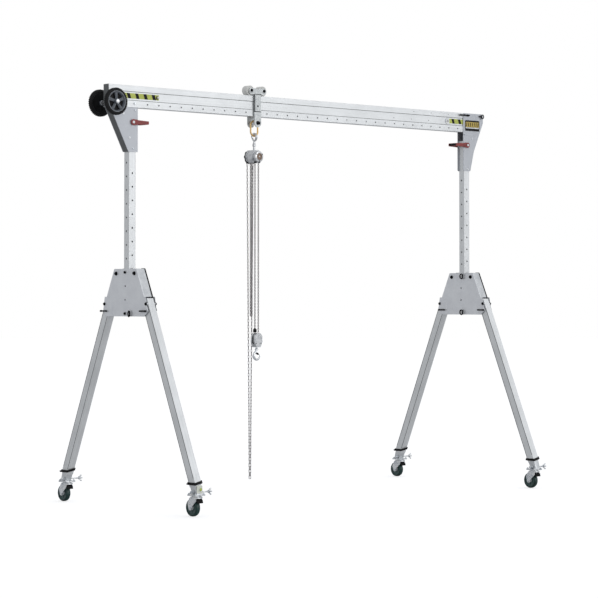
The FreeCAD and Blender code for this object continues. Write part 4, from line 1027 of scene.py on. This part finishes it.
def addTrolley():
    # two shaped side plates held apart by the roller axles and the load pin
    bm = bmesh.new()
    centre = middleOf("load_link")
    rolls = {side: pivotOf("roller_turn_" + side) for side in sides}
    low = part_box("trolley_plates")[0]
    half = trolley["half"] * mm
    foot = low.z + half
    rollZ = rolls["left"].z
    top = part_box("trolley_plates")[1].z
    step = trolley["lobe"] * mm
    reach = rolls["right"].x - centre.x + step * 0.75
    shoulder = rollZ - trolley["shoulder"] * mm
    corners = [(centre.x - half, low.z), (centre.x + half, low.z), (centre.x + half, shoulder),
               (centre.x + reach, shoulder), (centre.x + reach, top), (centre.x + half * 0.7, top),
               (centre.x, rollZ + 8 * mm), (centre.x - half * 0.7, top), (centre.x - reach, top),
               (centre.x - reach, shoulder), (centre.x - half, shoulder)]
    outline = rounded(corners, [half * 0.98, half * 0.98, 7 * mm, 21 * mm, 19 * mm, 16 * mm, 14 * mm, 16 * mm, 19 * mm,
                                21 * mm, 7 * mm], 7)
    inner, outer = (v * mm for v in trolley["plate"])
    for sign in ends.values():
        a, b = sorted((midY + sign * inner, midY + sign * outer))
        addPlate(bm, outline, "xz", a, b)
        face = midY + sign * outer
        # the lower half is a doubler that ends in a step; a black strip along the step is painted shade
        shape = rounded([(centre.x - half, low.z), (centre.x + half, low.z), (centre.x + half, trolley["step"]),
                         (centre.x - half, trolley["step"])], [half * 0.98, half * 0.98, 2 * mm, 2 * mm], 8)
        addPlate(bm, shape, "xz", min(face, face + sign * 3 * mm), max(face, face + sign * 3 * mm))
        addBlock(bm, (centre.x, face + sign * 1.2 * mm, trolley["step"] + 3.2 * mm), (2 * half, 2.4 * mm, 6.4 * mm), finish=1)
        edgeTop = shoulder
        # black strip across the plate under the roller axles: painted shade along the shoulder
        addBlock(bm, (centre.x, face + sign * 1.2 * mm, shoulder + 2 * mm), (2 * half + 8 * mm, 2.4 * mm, 4 * mm), finish=1)
        # black strip down one side of the upper plate: painted shade for the gap between plate and beam
        addBlock(bm, (centre.x - half + trolley["edge"] / 2 * mm, face + sign * 1 * mm, (trolley["step"] + edgeTop) / 2),
                 (trolley["edge"] * mm, 2 * mm, edgeTop - trolley["step"]), finish=1)
        keeperWide, keeperTall = (v * mm for v in trolley["keeper"])
        addBlock(bm, (centre.x + 3 * mm, face + sign * 5.5 * mm, foot), (keeperWide, 5 * mm, keeperTall), finish=1)
        for side in sides:
            spot = (rolls[side].x, face, rolls[side].z)
            addTurned(bm, [(0, 20 * mm), (2 * mm, 20 * mm), (3 * mm, 18 * mm), (3 * mm, 0)], spot, (0, sign, 0), 32)
            addHexBolt(bm, (rolls[side].x, face + sign * 3 * mm, rolls[side].z), (0, sign, 0), 19 * mm, 5 * mm, 1.15, 0, 1)
        addHexBolt(bm, (centre.x, face + sign * 3 * mm, foot), (0, sign, 0), 22 * mm, 5 * mm, 1.2, 0, 1)
        addHexBolt(bm, (centre.x + 2 * mm, face, 3.003), (0, sign, 0), 10 * mm, 4 * mm, 1.2, 0, 1)
        addHexBolt(bm, (centre.x - 15 * mm, face, 3.052), (0, sign, 0), 8 * mm, 3 * mm, 1.2, 0, 2)
        addHexBolt(bm, (centre.x + 15 * mm, face, 3.052), (0, sign, 0), 8 * mm, 3 * mm, 1.2, 0, 2)
    addRod(bm, (centre.x, midY, foot), (0, 1, 0), 9.8 * mm, 2 * outer, 28, 0, 2)
    for side in sides:
        addRod(bm, (rolls[side].x, midY, rolls[side].z), (0, 1, 0), 7.8 * mm, 2 * outer, 28, 0, 2)
    finishPiece("trolley_side_plates", bm, [trolleyAluminium, blackSteelAndShade, zincSteel], "trolley", ["trolley_plates"],
                1)


def addRoller(side):
    bm = bmesh.new()
    low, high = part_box("roller_" + side)
    r, w = (high.z - low.z) / 2, (high.y - low.y) / 2
    inset = 3 * mm
    shape = [(-w, 8.1 * mm), (-w, 15 * mm), (inset - w, 17 * mm), (inset - w, r - 10 * mm), (-w, r - 7 * mm),
             (-w, r - 4 * mm), (4 * mm - w, r), (w - 4 * mm, r), (w, r - 4 * mm), (w, r - 7 * mm),
             (w - inset, r - 10 * mm), (w - inset, 17 * mm), (w, 15 * mm), (w, 8.1 * mm)]
    addTurned(bm, shape, (low + high) / 2, (0, 1, 0), 56, True)
    finishPiece("running_wheel_" + side, bm, [turnedNylon], "roller_" + side, ["roller_" + side])


def addLink():
    # forged oblong link, a touch thicker at the two bows
    bm = bmesh.new()
    low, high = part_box("load_link")
    bar = (high.y - low.y) / 2
    ring = (high.x - low.x) / 2 - bar
    centre = (low + high) / 2
    straight = (high.z - low.z) / 2 - ring - bar
    points, radii = [], []
    for k in range(64):
        a = 2 * math.pi * k / 64
        z = ring * math.sin(a) + (straight if math.sin(a) > 0 else -straight)
        points.append(Vector((centre.x + ring * math.cos(a), centre.y, centre.z + z)))
        radii.append(bar * (0.9 + 0.1 * abs(math.sin(a))))
    addTube(bm, points, radii, 16, True)
    finishPiece("suspension_link", bm, [goldSteel], "trolley", ["load_link"])


topHook = {"bowl": 26, "bar": 9}


def addTopHook():
    # forged hook in the plane across the beam, with a pressed safety latch over its mouth
    bm = bmesh.new()
    low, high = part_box("top_hook")
    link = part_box("load_link")[0]
    bar = topHook["bar"] * mm
    ring = topHook["bowl"] * mm
    x, y = (low.x + high.x) / 2, midY
    seat = Vector((x, y, high.z - ring - bar))
    points, radii = [Vector((x, y, low.z + 1 * mm)), Vector((x, y, seat.z - ring - 26 * mm))], [bar, bar]
    for k in range(27):
        angle = -math.pi / 2 + math.radians(10.5 * k)
        swell = math.sin(math.radians(180 * min(k / 20, 1)))
        thick = bar * (0.8 + 0.2 * swell - 0.45 * max(0, (k - 19) / 7))
        points.append(seat + Vector((0, -(ring + bar - thick) * math.cos(angle), (ring + bar - thick) * math.sin(angle))))
        radii.append(thick)
    addTube(bm, points, radii, 16)
    collar = Vector((x, y, seat.z - ring - 30 * mm))
    addTurned(bm, [(-14 * mm, 11 * mm), (-12 * mm, 14 * mm), (-4 * mm, 14 * mm), (4 * mm, 12 * mm), (12 * mm, 9.5 * mm)],
              collar, steps=28)
    latch = [(y + 3 * mm, seat.z - ring + 1 * mm), (y + 10 * mm, seat.z - ring - 2 * mm), (y + 28 * mm, seat.z - 3 * mm),
             (y + 23 * mm, seat.z + 1 * mm)]
    addPlate(bm, rounded(latch, 2 * mm), "yz", x - 6 * mm, x + 6 * mm, 1)
    finishPiece("suspension_hook", bm, [nickelCasting, zincSteel], "trolley", ["top_hook"])


addTrolley()
for side in sides:
    addRoller(side)
addLink()
addTopHook()
print("trolley and suspension made")

hoist = {
    "gearCover": [(0, 44), (14, 44), (18, 42), (21, 38), (21, 34), (23, 30), (24, 27)],
    "gearRing": [(23.5, 27), (26, 26), (26, 20), (24.5, 19)],
    "gearBoss": [(24, 19), (23, 17), (23, 0)],
    "handCover": [(0, 47), (1, 51), (5, 52), (9, 52), (10, 48.5), (19, 48.5), (20, 52), (24, 52), (27, 50), (28, 46),
                  (28, 24), (26, 21), (26, 0)],
}


def addHoistBody():
    # cast casing, domed gear cover in front and the load sheave's chain mouth below
    bm = bmesh.new()
    low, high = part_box("hoist_body")
    x = (low.x + high.x) / 2
    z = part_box("hoist_hand_cover")[1].z - 52 * mm
    front = low.y + 26 * mm
    back = high.y
    outline = [(-34, -48), (34, -48), (48, -24), (48, 20), (26, 51), (-26, 51), (-48, 20), (-48, -24)]
    shape = rounded([(x + u * mm, z + v * mm) for u, v in outline], [10 * mm] * 2 + [22 * mm] * 2 + [14 * mm] * 2 + [22 * mm] * 2, 6)
    addPlate(bm, shape, "xz", front + 8 * mm, back - 14 * mm)
    addTurned(bm, [(0, 46 * mm), (3 * mm, 48 * mm), (8 * mm, 48 * mm)], (x, front + 9 * mm, z), (0, -1, 0), 56)
    addTurned(bm, [(0, 48 * mm), (10 * mm, 48 * mm), (14 * mm, 46 * mm)], (x, back - 14 * mm, z), (0, 1, 0), 56)
    for part, finish in (("gearCover", 0), ("gearRing", 1), ("gearBoss", 2)):
        addTurned(bm, [(a * mm, r * mm) for a, r in hoist[part]], (x, front, z), (0, -1, 0), 56, finish=finish)
    addTurned(bm, [(23 * mm, 6 * mm), (25.5 * mm, 5 * mm), (25.5 * mm, 0)], (x, front, z), (0, -1, 0), 28, finish=0)
    for k in range(3):
        a = 2 * math.pi * (k + 0.25) / 3
        spot = (x + 35 * mm * math.cos(a), front - 20 * mm, z + 35 * mm * math.sin(a))
        addHexBolt(bm, spot, (0, -1, 0), 8 * mm, 3 * mm, 1.3, 0, 2)
    for k in range(4):
        a = math.pi / 4 + math.pi * k / 2
        spot = (x + 41 * mm * math.cos(a), front - 1 * mm, z + 41 * mm * math.sin(a))
        addRod(bm, (spot[0], (front + back) / 2, spot[2]), (0, 1, 0), 5 * mm, back - front - 16 * mm, 16, 1 * mm)
    # suspension head round the hook's shank, and the two chain mouths
    addTurned(bm, [(-8 * mm, 20 * mm), (0, 20 * mm), (6 * mm, 16 * mm), (8 * mm, 12 * mm)], (x, midY, high.z - 8 * mm), steps=32)
    for u in (-17, 17):
        addBlock(bm, (x + u * mm, midY - 30 * mm, low.z + 6 * mm), (18 * mm, 20 * mm, 12 * mm), finish=2)
    finishPiece("hoist_casing", bm, [nickelCasting, bronzeRing, blackSteelAndShade], "hoist", ["hoist_body"], 1.2)


def addHandCover():
    # cover of the hand chain wheel: rim lips, a dark band between them that paints the shade in the slot, and two chain
    # guides
    bm = bmesh.new()
    low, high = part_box("hoist_hand_cover")
    x = (low.x + high.x) / 2
    z = high.z - 52 * mm
    addTurned(bm, [(a * mm, r * mm) for a, r in hoist["handCover"]], (x, low.y, z), (0, 1, 0), 60)
    # dark band in the slot between the lips: painted shade
    addTurned(bm, [(9.6 * mm, 49.2 * mm), (19.4 * mm, 49.2 * mm)], (x, low.y, z), (0, 1, 0), 60, finish=1)
    for u in (-29, 29):
        guide = rounded([(x + (u - 7) * mm, low.z + 2 * mm), (x + (u + 7) * mm, low.z + 2 * mm), (x + (u + 7) * mm, low.z + 32 * mm),
                         (x + (u - 7) * mm, low.z + 32 * mm)], 4 * mm)
        addPlate(bm, guide, "xz", low.y + 6 * mm, high.y - 6 * mm, 1)
    for k in range(9):
        # dark patches round the rim, painted shade for cooling slots
        a = 2 * math.pi * (k + 0.5) / 9
        turn = Matrix.Rotation(-a, 4, "Y")
        addBlock(bm, (x + 51.2 * mm * math.cos(a), low.y + 22 * mm, z + 51.2 * mm * math.sin(a)),
                 (2.4 * mm, 9 * mm, 16 * mm), turn, 1)
    for k in range(5):
        a = 2 * math.pi * k / 5 + 0.3
        addHexBolt(bm, (x + 36 * mm * math.cos(a), high.y - 1 * mm, z + 36 * mm * math.sin(a)), (0, 1, 0), 8 * mm, 3 * mm,
                   1.3, 0, 1)
    finishPiece("hand_wheel_cover", bm, [nickelCasting, blackSteelAndShade], "hoist", ["hoist_hand_cover"], 0.8)


addHoistBody()
addHandCover()
print("hoist made")

loadChain = {"wire": 2.0, "pitch": 12, "half": 6.6}
handChain = {"wire": 1.9, "pitch": 23, "half": 6.4}


def linkShape(look, around=10, across=5):
    # one link about +Z: two straights and two bows of round wire, as rings of points
    wire, pitch = look["wire"] * mm, look["pitch"] * mm
    bow = look["half"] * mm - wire
    straight = max(pitch / 2 + wire - bow, 0.0)
    rings = []
    for k in range(around):
        a = 2 * math.pi * (k + 0.5) / around
        lift = straight if math.sin(a) > 0 else -straight
        centre = Vector((bow * math.cos(a), 0, bow * math.sin(a) + lift))
        out = Vector((math.cos(a), 0, math.sin(a)))
        rings.append([centre + (out * math.cos(b) + Vector((0, 1, 0)) * math.sin(b)) * wire
                      for b in (2 * math.pi * s / across for s in range(across))])
    return rings


def chainPoints(route, pitch):
    # evenly spaced points and directions along a polyline
    lengths = [(b - a).length for a, b in zip(route, route[1:])]
    total = sum(lengths)
    count = max(int(round(total / pitch)), 1)
    out = []
    for k in range(count):
        want = total * (k + 0.5) / count
        for a, b, length in zip(route, route[1:], lengths):
            if want <= length:
                out.append((a.lerp(b, want / length), (b - a).normalized()))
                break
            want -= length
    return out


def addChain(bm, route, look, roll=0.0):
    rings = linkShape(look)
    for k, (point, direction) in enumerate(chainPoints(route, look["pitch"] * mm)):
        place = Matrix.Translation(point) @ turnTo(direction) @ Matrix.Rotation(roll + math.pi / 2 * (k % 2), 4, "Z")
        made = [[bm.verts.new(place @ p) for p in ring] for ring in rings]
        for first, second in zip(made, made[1:] + made[:1]):
            for s in range(len(first)):
                n = (s + 1) % len(first)
                bm.faces.new((first[s], first[n], second[n], second[s]))


def addLoadChain():
    bm = bmesh.new()
    low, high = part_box("load_chain")
    x = middleOf("hook_block").x
    fallY = middleOf("hook_block").y
    for u in (-17, 17):
        addChain(bm, [Vector((x + u * mm, fallY, high.z)), Vector((x + u * mm, fallY, low.z))], loadChain, 0.5)
    # the slack end hangs beside the falls in a long narrow loop
    slackX, slackY = low.x + 11 * mm, midY + 10 * mm
    half, bottom = 7 * mm, 1402 * mm
    bow = [Vector((slackX - half * math.cos(a), slackY, bottom - half * math.sin(a)))
           for a in (math.pi * k / 8 for k in range(9))]
    addChain(bm, [Vector((slackX - half, slackY, high.z))] + bow + [Vector((slackX + half, slackY, high.z))], loadChain, 0.3)
    finishPiece("load_chain_links", bm, [chainSteel], "hoist", ["load_chain"])
    # square stop on the fall that ends at the block
    bm = bmesh.new()
    addBlock(bm, (x - 17 * mm, fallY, 1.283), (22 * mm, 20 * mm, 26 * mm))
    addBlock(bm, (x - 17 * mm, fallY, 1.2995), (14 * mm, 13 * mm, 7 * mm))
    finishPiece("chain_stop", bm, [blackPlastic], "hoist", bevel=2)


def addHandChain():
    bm = bmesh.new()
    low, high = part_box("hand_chain")
    y = (low.y + high.y) / 2
    x = (low.x + high.x) / 2
    top = (high.x - low.x) / 2 - 3.5 * mm
    foot = low.z + 7 * mm
    bow = [Vector((x - 5 * mm * math.cos(a), y, foot + 3 * mm - 5 * mm * math.sin(a)))
           for a in (math.pi * k / 4 for k in range(5))]
    route = [Vector((x - top, y, high.z))] + bow + [Vector((x + top, y, high.z))]
    addChain(bm, route, handChain, 0.4)
    piece = finishPiece("hand_chain_links", bm, [chainSteel], "hoist", ["hand_chain"])
    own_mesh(piece)


addLoadChain()
addHandChain()
print("chains made")

block = {"cheek": 36}


def addHookBlock():
    # two round cheeks over the chain sheave, and a cross head below
    bm = bmesh.new()
    low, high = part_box("hook_block")
    centre = (low + high) / 2
    r = block["cheek"] * mm
    middle = high.z - 50 * mm
    outline = rounded([(centre.x - 20 * mm, low.z), (centre.x + 20 * mm, low.z), (centre.x + r + 2 * mm, low.z + 40 * mm),
                       (centre.x + r, middle + 28 * mm), (centre.x + 18 * mm, high.z), (centre.x - 18 * mm, high.z),
                       (centre.x - r, middle + 28 * mm), (centre.x - r - 2 * mm, low.z + 40 * mm)],
                      [8 * mm, 8 * mm, 24 * mm, 20 * mm, 12 * mm, 12 * mm, 20 * mm, 24 * mm], 7)
    for sign in (-1, 1):
        face = centre.y + sign * (high.y - low.y) / 2
        inner = face - sign * 17 * mm
        addPlate(bm, outline, "xz", min(face, inner), max(face, inner))
        addTurned(bm, [(0, 25 * mm), (1.5 * mm, 24 * mm), (1.5 * mm, 15 * mm), (0.5 * mm, 14 * mm), (0.5 * mm, 0)],
                  (centre.x, face - sign * 2 * mm, middle), (0, sign, 0), 40)
        for u, v in ((0, 30), (24, -28), (-24, -28)):
            addHexBolt(bm, (centre.x + u * mm, face - sign * 3 * mm, middle + v * mm), (0, sign, 0), 8 * mm, 2.5 * mm, 1.2, 0, 1)
    sheave = [(-8, 8), (-8, 30), (-4, 27), (4, 27), (8, 30), (8, 8)]
    addTurned(bm, [(a * mm, q * mm) for a, q in sheave], (centre.x, centre.y, middle), (0, 1, 0), 40, True, 1)
    addBlock(bm, (centre.x, centre.y, low.z + 14 * mm), (38 * mm, 20 * mm, 24 * mm), finish=0)
    finishPiece("hook_block_cheeks", bm, [nickelCasting, blackSteelAndShade], "hoist", ["hook_block"], 2.5, 3)


lowerHook = {"bowl": 28, "bar": 10}


def addLowerHook():
    # forged swivel hook: shank, thick bowl and a tapered point
    bm = bmesh.new()
    low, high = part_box("load_hook")
    x, y = pivotOf("hook_swivel").x, pivotOf("hook_swivel").y
    ring, bar = lowerHook["bowl"] * mm, lowerHook["bar"] * mm
    seat = Vector((x, y, low.z + ring + bar))
    points = [Vector((x, y, high.z - 1 * mm)), Vector((x, y, seat.z + ring + 24 * mm)), Vector((x - 3 * mm, y, seat.z + ring + 10 * mm))]
    radii = [7.5 * mm, 7.5 * mm, 8 * mm]
    for k in range(26):
        angle = math.radians(112 + 10.5 * k)
        thick = bar * (0.78 + 0.22 * math.sin(math.radians(min(180 * k / 19, 180))) - 0.4 * max(0, (k - 18) / 7))
        far = ring + bar - thick
        points.append(seat + Vector((far * math.cos(angle), 0, far * math.sin(angle))))
        radii.append(thick)
    addTube(bm, points, radii, 16)
    addTurned(bm, [(-9 * mm, 9 * mm), (-7 * mm, 13 * mm), (0, 14 * mm), (5 * mm, 12 * mm), (7 * mm, 9 * mm)],
              (x, y, seat.z + ring + 22 * mm), steps=28, finish=0)
    finishPiece("swivel_hook", bm, [zincSteel], "load_hook", ["load_hook"])


def addLatch():
    # pressed spring latch across the hook's mouth
    bm = bmesh.new()
    low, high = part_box("hook_latch")
    y = (low.y + high.y) / 2
    shape = rounded([(low.x, high.z - 7 * mm), (low.x + 4 * mm, high.z), (high.x, low.z + 5 * mm), (high.x - 3 * mm, low.z)], 2 * mm)
    wide = (high.y - low.y) / 2 - 1 * mm
    addPlate(bm, shape, "xz", y - wide, y + wide)
    for sign in (-1, 1):
        wall = y + sign * wide
        ear = rounded([(low.x, high.z - 8 * mm), (low.x + 9 * mm, high.z - 6 * mm), (low.x + 7 * mm, high.z), (low.x, high.z)], 2 * mm)
        addPlate(bm, ear, "xz", min(wall, wall + sign * 1 * mm), max(wall, wall + sign * 1 * mm))
    finishPiece("spring_latch", bm, [blackSteelAndShade], "hook_latch", ["hook_latch"], 0.5)


addHookBlock()
addLowerHook()
addLatch()
print("hook block and hook made")

studio = {
    "floor": 70,
    "floorTone": ("c4c4c5", "cacacb"),
    "floorGlow": 0.62,        # lifts the floor to the backdrop's white where the camera sees it
    "backdrop": "ffffff",
    "fill": (0.66, 0.84),    # soft light from the dim side and from the bright side
    "bright": (0.72, -0.68, -0.05),
    "key": 0.66,             # sun strength of the front light
    "keyAngle": 40,
    "keyFrom": (0.3, -1.0, 0.25),
}


def addFloor():
    bm = bmesh.new()
    bmesh.ops.create_circle(bm, cap_ends=True, segments=96, radius=studio["floor"])
    mesh = bpy.data.meshes.new("floor")
    bm.to_mesh(mesh)
    bm.free()
    floor = bpy.data.objects.new("floor", mesh)
    bpy.context.scene.collection.objects.link(floor)
    finish, tree, surface, place = startFinish("pale studio floor", {"Roughness": 0.9, "Specular IOR Level": 0.1,
                                                                    "Emission Color": (1, 1, 1, 1)})
    cloud = addNode(tree, "ShaderNodeTexNoise", {"Scale": 0.7, "Detail": 2.0}, {"Vector": place})
    deep, light = studio["floorTone"]
    colour = addNode(tree, "ShaderNodeValToRGB", {"stops": [(0.3, deep), (0.7, light)]}, {"Fac": cloud.outputs["Fac"]})
    tree.links.new(colour.outputs["Color"], surface.inputs["Base Color"])
    path = addNode(tree, "ShaderNodeLightPath")
    glow = addNode(tree, "ShaderNodeMath", {"operation": "MULTIPLY", 1: studio["floorGlow"]},
                   {0: path.outputs["Is Camera Ray"]})
    tree.links.new(glow.outputs[0], surface.inputs["Emission Strength"])
    mesh.materials.append(finish)
    floor.location.z = -0.001


def addLight():
    world = bpy.data.worlds.new("studio")
    bpy.context.scene.world = world
    world.use_nodes = True
    tree = world.node_tree
    tree.nodes.clear()
    path = addNode(tree, "ShaderNodeLightPath")
    # one big soft box to the front right, falling off smoothly to the back left
    toward = addNode(tree, "ShaderNodeVectorMath", {"operation": "DOT_PRODUCT", 1: Vector(studio["bright"]).normalized()},
                     {0: addNode(tree, "ShaderNodeTexCoord").outputs["Generated"]})
    dim, bright = studio["fill"]
    level = addNode(tree, "ShaderNodeMapRange", {"From Min": -0.9, "From Max": 0.9, "To Min": dim, "To Max": bright},
                    {"Value": toward.outputs["Value"]})
    soft = addNode(tree, "ShaderNodeBackground", {"Color": linearColour("f2f4f7")}, {"Strength": level.outputs[0]})
    seen = addNode(tree, "ShaderNodeBackground", {"Color": linearColour(studio["backdrop"]), "Strength": 1.0})
    both = addNode(tree, "ShaderNodeMixShader", links={0: path.outputs["Is Camera Ray"], 1: soft.outputs[0], 2: seen.outputs[0]})
    addNode(tree, "ShaderNodeOutputWorld", links={"Surface": both.outputs[0]})
    sun = bpy.data.lights.new("key", "SUN")
    sun.energy = studio["key"]
    sun.angle = math.radians(studio["keyAngle"])
    lamp = bpy.data.objects.new("key", sun)
    lamp.rotation_euler = Vector(studio["keyFrom"]).to_track_quat("Z", "Y").to_euler()
    bpy.context.scene.collection.objects.link(lamp)
    bpy.context.scene.view_settings.view_transform = "Standard"


view = {
    "lens": 129.6,
    "place": (-11.1855, -12.5955, 1.506),
    "heading": 41.54,    # clockwise from +Y
    "pitch": 1.66,
    "rise": -0.1,        # vertical shift, for the posts' slight spread towards the floor
}


def addCamera():
    lens = bpy.data.cameras.new("camera")
    lens.lens = view["lens"]
    lens.sensor_width = 36
    lens.shift_y = view["rise"]
    lens.clip_end = 200
    camera = bpy.data.objects.new("camera", lens)
    camera.location = view["place"]
    camera.rotation_euler = (math.radians(90 + view["pitch"]), 0, -math.radians(view["heading"]))
    bpy.context.scene.collection.objects.link(camera)
    bpy.context.scene.camera = camera


addFloor()
addLight()
addCamera()
print("studio made")
